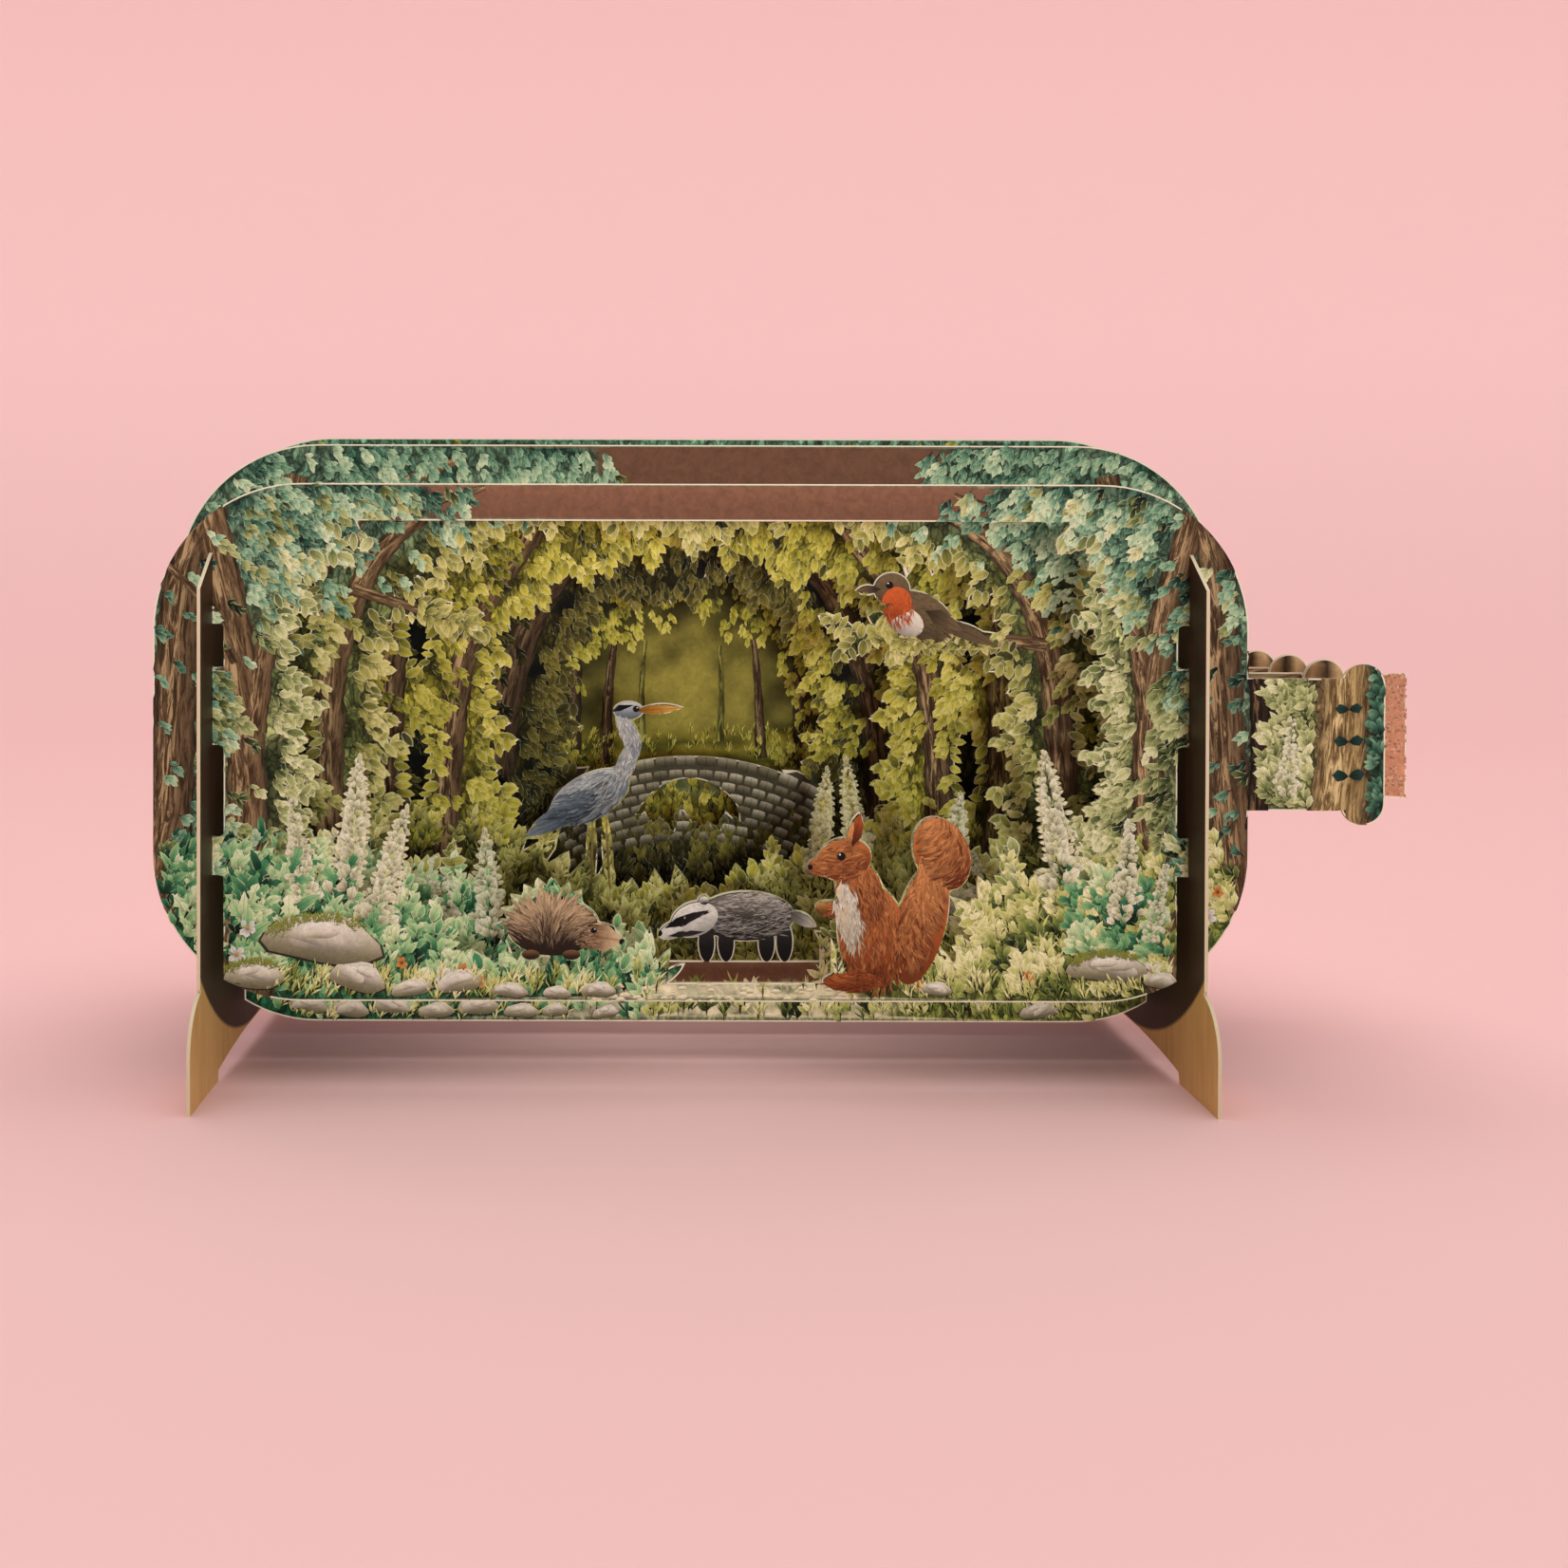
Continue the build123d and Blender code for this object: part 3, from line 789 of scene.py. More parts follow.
def paint_trunks(sheet):
    """One piece of ribbons along the sheet's trunks and boughs."""
    spots, faces, grain, across, paint, tip = [], [], [], [], [], []
    columns = np.linspace(-1, 1, 7)
    wide = len(columns)
    for number, (colour, light, line) in enumerate(sheet.trunks):
        way = unit(np.gradient(line[:, :2], axis=0))
        length = run_length(line)
        ripple = 1 + 0.07 * np.sin(length * 1.1 + number) + 0.05 * np.sin(length * 2.7)
        for row in range(len(line) - 1):
            corner = len(spots) + row * wide
            faces += [(a, a + 1, a + 1 + wide, a + wide) for a in range(corner, corner + wide - 1)]
        for (x, z, width), (dx, dz), far, swell in zip(line, way, length, ripple):
            for column in columns:
                half = column * max(width, 0.2) * swell / 2
                crease = trunk_lift + 0.02 * (1 - column * column) + 0.003 * number
                spots.append((x + dz * half, sheet.face - crease, z - dx * half))
                grain.append((half, far, 7.3 * number))
                across.append(column)
        paint += [colour] * len(line) * wide
        tip += [light] * len(line) * wide
    name = sheet.node + "_trunks"
    mesh = new_mesh(name, spots, faces)
    for polygon in mesh.polygons:
        if polygon.normal.y > 0:
            polygon.flip()
    set_facts(mesh, grain=grain, across=across, paint=paint, tip=tip)
    mesh.update()
    new_piece(cut_to_board(sheet, mesh, name), name, bark_material)


# Foliage, flowers and stones


def place_in(palette, tone):
    """The shade below each tone from 0 to 1, and the share of the way to the next."""
    place = np.clip(tone, 0, 1) * (len(palette) - 2)
    return place.astype(int), place % 1


def sprays(marks, centres, heading, tone, palette, length, leaves=6, spread=1.2,
           forms=(pointed, rounded), depths=(0.0, 0.12), rim=0.0):
    """Fans of leaves on twigs."""
    random = marks.random
    count = len(centres)
    tone = tone + random.normal(0, 0.1, count)
    order = np.argsort(tone + random.normal(0, 0.16, count))
    centres, heading, tone = centres[order], heading[order], tone[order]
    lift = leaf_lift + np.linspace(*depths, count)
    marks.add(centres, heading, 1.1 * length, stroke, bark_dark * 0.7, bark_dark, lift - 0.004, 0.8)
    way = np.stack([np.sin(heading), np.cos(heading)], 1)
    for leaf in range(leaves):
        place = (leaf - (leaves - 1) / 2) / max(leaves - 1, 1) * (-1) ** leaf
        turn = heading + spread * place + random.normal(0, 0.14, count)
        reach = length * (1 - 0.4 * abs(place)) * random.uniform(0.7, 1.15, count)
        low, share = place_in(palette, tone + random.normal(0, 0.08, count))
        colour = blend(palette[low], palette[low + 1], share)
        light = blend(palette[low + 1], palette.take(low + 2, 0, mode="clip"), share)
        start = centres + way * length * random.uniform(0, 0.9, (count, 1))
        marks.add(start, turn, reach, random.choice(forms, count), colour, light, lift + 0.003 * leaf,
                  random.uniform(0.85, 1.2, count), random.normal(-0.01, 0.02, count), rim)


def leaf_bed(marks, low, high, count, palette, length, heading, tone, keep=None, lighter=0.0, **settings):
    """Sprays over part of a sheet, thinned by a mask."""
    centres = marks.sheet.scatter(count, low, high)
    if keep is not None:
        centres = centres[keep(centres) > marks.random.uniform(0, 1, len(centres))]
    tone = np.clip(tone(centres) + lighter, 0, 1)
    sprays(marks, centres, heading(centres), tone, palette, length, **settings)


herbs = {"forms": (pointed, rounded, blade), "spread": 1.9, "rim": 0.35}
grass = {"forms": (blade, stroke), "spread": 1.3, "depths": (0.2, 0.23)}


def inward(points):
    """Leaves point to the opening, and down where the canopy hangs or up where plants stand."""
    dx = (middle_x - points[:, 0]) / 60
    fall = np.where(points[:, 1] > hang_z, -0.75, 0.9)
    return np.arctan2(dx, (axis_z - points[:, 1]) / 60 * 0.4 + fall)


def upright(points):
    return np.clip((points[:, 0] - middle_x) * -0.006, -0.5, 0.5)


def resampled(loop, step):
    """Points at even steps along a closed loop."""
    closed = np.vstack([loop, loop[:1]])
    run = run_length(closed)
    at = np.arange(0, run[-1], step)
    return np.stack([np.interp(at, run, values) for values in closed.T], 1)


def smoothed(points, reach):
    """The running mean of a closed row of points."""
    kernel = 2 * reach + 1
    padded = np.vstack([points[-reach:], points, points[:reach]])
    sums = np.cumsum(np.vstack([np.zeros((1, 2)), padded]), 0)
    return (sums[kernel:] - sums[:-kernel]) / kernel


def edge_leaves(marks, palette, keep, light=0.6, rim=0.75, spacing=1.5, length=2.4, fall=0.5, reach=1.0):
    """Leaves of board along the openings, which round off and overlap the cut edge."""
    random = marks.random
    step = 0.25
    x, z = marks.sheet.loops[0].T
    side = np.sign(np.sum(x * np.roll(z, -1) - np.roll(x, -1) * z))
    for loop in marks.sheet.openings:
        points = resampled(loop, step)
        guide = smoothed(points, min(14, len(points) // 3))
        run = unit(np.roll(guide, -1, 0) - np.roll(guide, 1, 0))
        way = side * np.stack([run[:, 1], -run[:, 0]], 1)
        chosen = np.arange(0, len(points), spacing / step)
        chosen = np.round(chosen + random.uniform(-1.5, 1.5, len(chosen))).astype(int) % len(points)
        chosen = chosen[keep(points[chosen])]
        count = len(chosen)
        points, guide, way = points[chosen], guide[chosen], way[chosen]
        past = ((points - guide) * way).sum(1)
        out = np.clip(reach - past, 0.35, 1.2) * random.uniform(0.8, 1.15, count)
        turn = np.arctan2(way[:, 0], way[:, 1] + np.where(points[:, 1] > hang_z, -fall, fall))
        turn = turn + random.normal(0, 0.3, count)
        size = length * random.uniform(0.75, 1.25, count)
        start = points + np.stack([np.sin(turn), np.cos(turn)], 1) * (out - size)[:, None]
        low, share = place_in(palette, light + random.normal(0, 0.16, count))
        colour = blend(palette[low], palette[low + 1], share)
        lift = 0.16 + 0.1 * (np.arange(count) * 0.37 % 1)
        wide = random.uniform(1.0, 1.5, count)
        marks.add(start, turn, size, plate, colour, palette[low + 1], lift, wide, 0.0, rim, lift + 0.44)


def edge_beds(sheet, beds, bloom_light=0.5, bloom_length=1.3, bloom_reach=0.7):
    """The piece of board leaves; each bed is a palette, a window, a tone and a rim."""
    edges = Marks(sheet, "_edge_leaves")
    for palette, low, high, light, rim in beds:
        def keep(points):
            return ((points > low) & (points <= high)).all(1) & ~sheet.on_figures(points)
        edge_leaves(edges, palette, keep, light, rim)
    if sheet.spikes:
        edge_leaves(edges, bloom_shades, sheet.on_spikes, bloom_light, spacing=0.9, length=bloom_length,
                    fall=0.2, reach=bloom_reach)
    if edges.rows:
        paint_marks(edges, False)


def flower_heads(marks, spikes, colour=cream_leaf, light=white):
    """Tall heads built of small blooms, wide at their foot; each is a root, a length and a lean."""
    random = marks.random
    for root, length, lean in spikes:
        count = int(8 * length)
        share = random.uniform(0.1, 1, count) ** 0.9
        side = random.normal(0, 1, count) * 0.062 * length * (1.08 - share)
        angle = math.radians(lean)
        up = np.array([-math.sin(angle), math.cos(angle)])
        over = np.array([math.cos(angle), math.sin(angle)])
        points = np.array(root) + np.outer(share * length, up) + np.outer(side, over)
        order = np.argsort(-share + 0.3 * random.normal(0, 1, count))
        points, share, side = points[order], share[order], side[order]
        turn = -angle + np.sign(side) * random.uniform(0.2, 1.3, count)
        tone = random.uniform(0, 1, count)
        size = 0.085 * length * (1.15 - 0.6 * share)
        lift = leaf_lift + 0.17 + np.linspace(0, 0.04, count)
        marks.add(points, turn, size, rounded, blend(colour * 0.5, colour, tone), blend(colour, light, tone),
                  lift, 1.5, random.normal(-0.03, 0.04, count), 0.4)


def pebbles(marks, low, high, count, sizes):
    """Small stones strewn on a path."""
    points = marks.sheet.scatter(count, low, high)
    size = marks.random.uniform(*sizes, len(points))
    lift = 2 * leaf_lift + np.linspace(0, 0.03, len(points))
    marks.add(points, 0.0, size, pebble, path * 0.72, path, lift, 1.9)


def rocks(marks, spots):
    """Pale stones with a dark foot and a lit crown, each given as x, z, half height and stretch."""
    random = marks.random
    for x, z, size, wide in spots:
        turn = random.normal(0, 0.12)
        marks.add((x, z - 0.05 * size), turn, size * 1.05, pebble, stone_dark * 0.2, stone_dark * 0.3,
                  stone_lift, wide)
        marks.add((x, z), turn, size, pebble, stone_dark * 1.3, blend(stone, white, 0.3),
                  stone_lift + 0.02, wide)
        for step in range(3):
            shift = np.array([random.uniform(-0.4, 0.3) * wide, 0.12 + 0.14 * step]) * size
            marks.add((x, z) + shift, turn + random.normal(0, 0.2), size * (0.62 - 0.14 * step), pebble,
                      stone * (0.6 + 0.12 * step), blend(stone, white, 0.5 + 0.2 * step),
                      stone_lift + 0.09 + 0.05 * step, wide)


def boulders(marks, spots):
    """Large stones like the small ones, with moss over their crowns."""
    random = marks.random
    for x, z, size, wide in spots:
        rocks(marks, [(x, z, size, wide)])
        count = int(34 * size * wide)
        angle = random.uniform(-1.35, 0.9, count)
        reach = np.sqrt(random.uniform(0.5, 1.0, count))
        points = np.array((x, z)) + np.stack([np.sin(angle) * wide, np.cos(angle)], 1) * reach[:, None] * size
        turn = random.normal(0, 0.7, count)
        colour = blend(moss * 0.4, moss, reach)
        marks.add(points, turn, 0.9, stroke, colour, moss * 1.4, stone_lift + 0.24, 1.4)


def flowers(marks, points, size, petal, heart):
    """Small open flowers with five petals."""
    for index in range(5):
        turn = full_turn * index / 5 + marks.random.uniform(0, 1, len(points))[0]
        marks.add(points, turn, size, rounded, petal * 0.75, petal, leaf_lift + 0.2, 1.3)
    marks.add(points, 0.0, size * 0.24, disc, heart * 0.7, heart, leaf_lift + 0.21)


# Figures: the same ovals and pointed shapes as the cut outlines, painted


class Figure:
    """Places painted marks in hundredths of a figure's height, from its foot."""

    def __init__(self, marks, foot, height, facing=-1):
        self.marks = marks
        self.foot = foot
        self.unit = height / 100
        self.facing = facing
        self.layer = 0

    def lift(self):
        self.layer += 1
        return figure_lift + 0.006 * self.layer

    def spot(self, across, up):
        return np.stack([self.foot[0] - self.facing * self.unit * np.asarray(across, float),
                         self.foot[1] + self.unit * np.asarray(up, float)], -1)

    def oval(self, across, up, half_width, half_tall, turn, paint, tip, inset=0.22):
        wide = max(self.unit * half_width - inset, 0.12)
        tall = max(self.unit * half_tall - inset, 0.12)
        self.marks.add(self.spot(across, up), self.facing * math.radians(turn), tall, disc, paint, tip,
                       self.lift(), wide / tall)

    def dot(self, across, up, half_width, half_tall, paint=black, tip=black):
        self.oval(across, up, half_width, half_tall, 0, paint, tip, 0)

    def ovals(self, shapes, paint, tip, inset=0.22):
        for shape in shapes:
            self.oval(*shape, paint, tip, inset)

    def leaf(self, across, up, length, width, direction, paint, tip, form=pointed):
        angle = direction if self.facing < 0 else 180 - direction
        turn = math.pi / 2 - math.radians(angle)
        self.marks.add(self.spot(across, up), turn, self.unit * length, form, paint, tip, self.lift(),
                       width / length / 0.42)

    def fur(self, oval, count, length, flow, dark, light, thin=1.0, fan=0.0, scatter=0.25):
        """Strokes over an oval, lighter towards its top, that flow in one direction or fan out."""
        across, up, half_width, half_tall, turn = oval
        random = self.marks.random
        reach = np.sqrt(random.uniform(0, 0.86, count))
        angle = random.uniform(0, full_turn, count)
        x, z = reach * np.cos(angle) * half_width, reach * np.sin(angle) * half_tall
        order = np.argsort(z + random.normal(0, 0.2 * half_tall, count))[::-1]
        x, z, angle, reach = x[order], z[order], angle[order], reach[order]
        sine, cosine = math.sin(math.radians(turn)), math.cos(math.radians(turn))
        points = self.spot(across + x * cosine - z * sine, up + x * sine + z * cosine)
        heading = math.radians(flow) + random.normal(0, scatter, count) + fan * np.cos(angle) * reach
        heading = heading if self.facing < 0 else math.pi - heading
        tone = np.clip(0.5 + 0.4 * z / half_tall + random.normal(0, 0.22, count), 0, 1)
        colour = blend(dark, light, tone)
        size = self.unit * length * random.uniform(0.7, 1.3, count)
        lift = self.lift() + np.linspace(0, 0.02, count)
        self.marks.add(points, math.pi / 2 - heading, size, stroke, colour * 0.8, colour, lift, thin)
        self.layer += 3

    def eye(self, across, up, size):
        self.dot(across, up, size * 1.2, size * 1.15, tint(96, 66, 40), tint(150, 110, 70))
        self.dot(across, up, size, size)
        self.dot(across - size * 0.35, up + size * 0.35, size * 0.3, size * 0.3, white, white)


def paint_squirrel(figure):
    dark, mid, light = shades((112, 50, 22), (172, 86, 38), (228, 156, 92))
    ovals = [(26, 35, 14, 34, -14), (37, 73, 15, 21, 24), (0, 29, 19, 29, 8), (-7, 53, 13, 17, 16),
             (-15, 70, 15, 12, 14), (-28, 66, 7, 5, 0), (-20, 43, 11, 5, -8), (-10, 4, 17, 6, 0)]
    figure.ovals(ovals, mid * 0.8, blend(mid, light, 0.4))
    for oval, flow in zip(ovals[:2], (96, 60)):
        figure.fur(oval, 420, 13, flow, dark, light, 0.9, 0.9)
    for oval, flow, count in zip(ovals[2:7], (-80, -70, 200, 190, 200), (420, 260, 220, 60, 70)):
        figure.fur(oval, count, 7, flow, dark, blend(mid, light, 0.7))
    figure.oval(-14, 40, 7, 18, 10, cream * 0.85, cream)
    figure.fur((-13, 42, 7, 20, 10), 150, 7, -80, cream * 0.7, white)
    figure.leaf(-11, 77, 19, 8, 78, dark, mid)
    figure.leaf(-13, 78, 13, 4, 80, light * 0.8, light)
    figure.eye(-17, 72, 2.1)
    figure.dot(-34, 66, 1.7, 1.4)
    figure.dot(-29, 44, 4.5, 4, tint(120, 78, 36), tint(190, 140, 76))
    figure.fur(ovals[7], 80, 6, 180, dark, mid)


def paint_hedgehog(figure):
    dark, mid, light = shades((54, 38, 26), (118, 86, 56), (220, 190, 146))
    figure.leaf(-34, 38, 76, 44, 188, mid, light, rounded)
    figure.ovals([(0, 48, 72, 46, 0), (-28, 6, 16, 10, 0), (34, 6, 16, 10, 0)], dark, mid)
    figure.fur((-50, 32, 26, 18, 10), 160, 9, 190, mid, light)
    for step in range(5):
        figure.fur((6, 50, 66 - 9 * step, 42 - 5 * step, 0), 170, 26, 90, dark, light, 0.7, -1.5, 0.2)
    figure.eye(-62, 44, 4.2)
    figure.dot(-106, 26, 5, 5)


def paint_badger(figure):
    dark, mid, light = shades((44, 40, 38), (120, 114, 104), (206, 200, 186))
    body = (14, 60, 66, 34, 0)
    legs = [(-38, 24, 12, 26, 0), (-12, 24, 12, 26, 0), (42, 24, 12, 26, 0), (66, 26, 12, 28, 0)]
    figure.ovals(legs, black, dark)
    figure.oval(*body, dark, mid)
    figure.fur(body, 620, 14, 8, dark, light, 0.8, 0.2)
    figure.oval(-42, 80, 9, 9, 0, dark, white)
    figure.ovals([(-54, 56, 34, 24, 20), (-82, 42, 22, 12, 24)], white * 0.8, white)
    figure.leaf(-94, 44, 66, 15, 22, black, dark)
    figure.leaf(-90, 34, 50, 9, 8, dark, dark)
    figure.fur((-60, 58, 30, 20, 20), 120, 8, 20, light, white, 0.6)
    figure.leaf(-94, 45, 64, 13, 23, black, dark)
    figure.leaf(72, 66, 42, 18, -28, mid, light)
    figure.eye(-66, 57, 3.2)
    figure.dot(-102, 38, 5, 4.4)


def paint_heron(figure):
    dark, mid, light = shades((58, 68, 78), (128, 142, 150), (206, 212, 208))
    body, low_neck, high_neck = (5, 50, 23, 12, -28), (-14, 67, 5, 15, 22), (-15, 84, 5, 12, -26)
    for foot, direction in ((4, 90), (-6, 86)):
        figure.leaf(foot, -4, 52, 4, direction, tint(120, 96, 52), tint(156, 132, 80), stroke)
    figure.leaf(13, 44, 30, 9, -32, dark, mid)
    figure.ovals([body, low_neck, high_neck, (-15, 95, 8, 5, 0)], mid, light, 0.18)
    figure.fur(body, 360, 11, -30, dark, light, 0.9, 0.2)
    figure.fur((12, 45, 16, 7, -30), 120, 14, -32, dark * 0.8, mid, 0.9)
    figure.fur(low_neck, 120, 6, -70, mid, white)
    figure.fur(high_neck, 120, 6, -110, mid, white)
    figure.leaf(-18, 95, 26, 5, 176, tint(176, 120, 40), tint(220, 172, 84))
    figure.leaf(-18, 98, 26, 3.4, -12, black, dark)
    figure.eye(-19, 96, 1.5)


def paint_songbird(figure):
    back, breast, belly = shades((112, 94, 66), (206, 96, 44), (228, 220, 200))
    body = (0, 38, 50, 32, -24)
    figure.leaf(26, 30, 92, 22, -22, back * 0.7, back)
    figure.ovals([body, (-38, 74, 26, 24, 0)], back * 0.8, back)
    figure.fur(body, 260, 16, -26, back * 0.55, back * 1.4, 0.8)
    figure.oval(-18, 28, 26, 20, -30, belly * 0.8, belly, 0.1)
    figure.oval(-32, 54, 22, 24, -10, breast * 0.8, breast, 0.1)
    figure.fur((-30, 50, 22, 26, -10), 160, 12, -70, breast * 0.6, breast * 1.3, 0.8)
    figure.leaf(8, 44, 60, 22, -26, back * 0.5, back * 1.2)
    figure.leaf(-54, 74, 34, 11, 184, tint(70, 56, 40), tint(120, 98, 70))
    figure.eye(-42, 80, 5)


# Grounds


def outer_wash(points, seed):
    return wash(points, outer_shades[1], outer_shades[3], 11, seed)


def path_share(points, low, high, soft, seed):
    """A trodden way with worn edges and streaks along it."""
    return box_share(points, low, high, soft) * (0.8 + 0.25 * drift(points * (0.5, 2.5), 5, seed))


def with_neck(points, colour, leafy, phase):
    """Adds the back of a neck: tan wood grain in soft upright streaks."""
    x, z = points.T
    wave = np.sin(x * 1.6 + phase + 0.4 * np.sin(z * 0.7))
    grain = blend(bark_dark, bark_light, 0.5 + 0.5 * wave)
    return np.where((x > neck_x)[:, None], grain, colour), np.clip(leafy, 0, 1) * (x < neck_x)


# Front sheet

front = Sheet("front_sheet", "printed_board_front", 11, [
    (bark * 0.8, bark_light * 0.9, (-95, 26, 9), (-92, 40, 7), (-91, 56, 6.4), (-90, 72, 6), (-86, 88, 5)),
    (bark * 1.1, bark_light, (-83, 10, 13), (-81.2, 20, 8.4), (-80.6, 34, 6.2), (-80.8, 50, 5.6),
     (-82.4, 66, 5.4), (-86, 84, 5)),
    (bark * 0.9, bark_light, (-79.6, 52, 3.8), (-77, 66, 3), (-69, 77, 2.3), (-57, 84, 1.6),
     (-46, 87.4, 0.9)),
    (bark * 0.8, bark_light, (-82, 62, 2.6), (-86, 70, 1.8), (-93, 77, 1)),
    (bark * 0.8, bark_light * 0.9, (64, 26, 8), (62, 44, 6.4), (61, 60, 5.8), (60, 76, 5), (55, 92, 4)),
    (bark * 0.95, bark_light, (56, 10, 10), (52.6, 20, 6.6), (50.8, 36, 5), (50.4, 52, 4.6), (52.4, 68, 4.2),
     (57, 84, 3.8)),
    (bark * 0.85, bark_light, (50.4, 54, 3.4), (48, 67, 2.7), (41, 77, 2.1), (31, 83, 1.5), (22, 86.4, 0.9)),
    (tint(196, 170, 112), tint(232, 210, 152), (77.4, 38, 9), (78.2, 46, 7.6), (78.8, 54, 6.8),
     (79, 64, 7.4)),
    (bark_dark * 1.2, bark, (66.2, 38, 3.4), (66.6, 50, 2.6), (66.2, 64, 3.2)),
], [((-65.9, 24.4), 24.3, -4), ((-62.8, 21.7), 20.4, -16), ((38.4, 26.4), 23.5, 8)],
    [((-0.2, 15.6), (22.5, 43)), ((22.5, 27.5), (26, 43)), ((-45, 18.6), (-26, 30))])


def front_ground(points):
    x, z = points.T
    colour = wash(points, canopy_shades[1], canopy_shades[3], 14, 1)
    colour = blend(colour, outer_wash(points, 2), steps(ring(points, 78, 40), 0.86, 1.04))
    low_left = wash(points, left_ground[1], left_ground[2], 10, 4, 0.5, 0.4)
    low_right = wash(points, right_ground[1], right_ground[2], 10, 6, 0.5, 0.4)
    colour = blend(colour, blend(low_left, low_right, steps(x, -22, 4)), steps(z, hang_z, 30))
    way = path_share(points, (-26, 0), (8, 15.8), 1.2, 7)
    band = box_share(points, (-54, 82), (28, 99), 0.6)
    colour = blend(colour, path, way)
    # The bronze band is painted lighter towards its top edge: a painted sheen on the foil.
    colour = blend(colour, bronze * (1 + 0.25 * steps(z, 84, 88))[:, None], band)
    neck = blend(bark_dark, canopy_shades[2], steps(x, 67, 70))
    neck = blend(neck, bark, steps(x, 74.4, 75))
    neck = blend(neck, outer_shades[1], steps(x, 82.4, 83.0))
    return np.where((x > neck_x)[:, None], neck, colour), np.clip(1 - way - band, 0, 1)


def paint_front_canopy():
    canopy = Marks(front, "_canopy")
    tone = front.tones(0.41, 0.3, 7, 3, 0.3, 7)

    def here(points):
        clear = 1 - box_share(points, (-49, 80.5), (23, 99), 3.0)
        return clear * steps(points[:, 1], 26, 32) * (points[:, 0] < 66) * front.off_bark(points, 0.9, 0.5)

    def outer(points):
        return steps(ring(points, 78, 40), 0.84, 1.02)

    leaf_bed(canopy, (-95, 24), (66, 89), 7000, outer_shades, 2.0, inward, tone,
             lambda p: here(p) * outer(p), rim=0.35)
    leaf_bed(canopy, (-95, 24), (66, 89), 6000, canopy_shades, 2.4, inward, tone,
             lambda p: here(p) * (1 - 0.8 * outer(p)), rim=0.55, depths=(0.04, 0.14))
    leaf_bed(canopy, (67.5, 40), (74.2, 60), 110, canopy_shades, 2.2, upright, front.tones(0.62, 0.2, 6, 8),
             rim=0.6, spread=2.2)
    leaf_bed(canopy, (83.6, 38), (86, 62), 50, outer_shades, 2.0, upright, front.tones(0.22, 0.1, 6, 8),
             spread=2.2)
    flower_heads(canopy, [((70.4, 41), 13, -3)])
    for z, size in ((55.5, 2.0), (50.8, 2.2), (45.8, 2.4)):
        canopy.add([(79.4, z), (79.4, z)], (-1.5, 1.4), size, rounded, deep_teal * 0.5, deep_teal,
                   leaf_lift + 0.14, 1.4)
    paint_marks(canopy)


def paint_front_plants():
    plants = Marks(front, "_plants")
    tone = front.tones(0.48, 0.38, 8, 5, 0.28, 5)

    def keep(points):
        return steps(points[:, 1], hang_z, 30) * (1 - box_share(points, (-22, 0), (9, 16.5), 1.0))

    leaf_bed(plants, (-95, 12), (-16, 38), 1250, left_ground, 3.0, upright, tone, keep, **herbs)
    leaf_bed(plants, (-20, 12), (66, 38), 1500, right_ground, 2.7, upright, tone, keep,
             forms=(pointed, blade, rounded), spread=1.8, rim=0.3)
    leaf_bed(plants, (40, 18), (54, 30), 50, left_ground, 2.8, upright, tone, lighter=-0.1,
             spread=2.0, depths=(0.12, 0.14), rim=0.3)
    leaf_bed(plants, (-92, 16), (-66, 30), 18, left_ground, 4.4, upright, tone, lighter=0.25,
             forms=(pointed, lobed), spread=2.4, leaves=7, depths=(0.14, 0.16), rim=0.5)
    boulders(plants, [(-69.5, 21.2, 4.2, 2.1), (-79.4, 16.2, 2.5, 1.8), (44.5, 17.6, 2.5, 2.4)])
    rocks(plants, [(-64.4, 16.0, 2.6, 1.6), (-56.4, 14.6, 1.5, 2.1), (-49.6, 15.4, 2.0, 1.7),
                   (-42.4, 14.3, 1.3, 2.2), (-35.4, 14.0, 1.1, 1.9), (-29.4, 14.4, 1.3, 2.0),
                   (19.6, 14.6, 1.2, 2.0), (52.4, 15.8, 1.4, 1.9)])
    pebbles(plants, (-30, 12.8), (8, 15.4), 60, (0.15, 0.45))
    leaf_bed(plants, (-92, 12), (64, 15.8), 420, right_ground, 2.3, upright, tone,
             lambda p: 1 - 0.94 * box_share(p, (-27, 0), (5, 30), 1.0), 0.26, **grass)
    flower_heads(plants, front.spikes + [((-71.5, 25), 17, 8), ((46.5, 22), 17, -4), ((50.2, 20), 13, -12)])
    daisies = [(-82, 19.5), (-78.5, 17.2), (-80.4, 23.4), (-52, 16.6), (56, 21), (51, 17.4), (59, 25.4)]
    flowers(plants, daisies, 1.5, white, tint(214, 168, 60))
    buds = [(-58, 18.4), (-46.5, 15.6), (-49, 17.4), (17.5, 15.2), (33, 16.6), (60.5, 29), (-86.5, 27)]
    flowers(plants, buds, 1.0, tint(226, 150, 74), tint(140, 70, 34))
    paint_squirrel(Figure(plants, (10.35, 14.71), 27.0))
    paint_hedgehog(Figure(plants, (-35.99, 19.11), 9.5, 1))
    paint_marks(plants)


# Second sheet

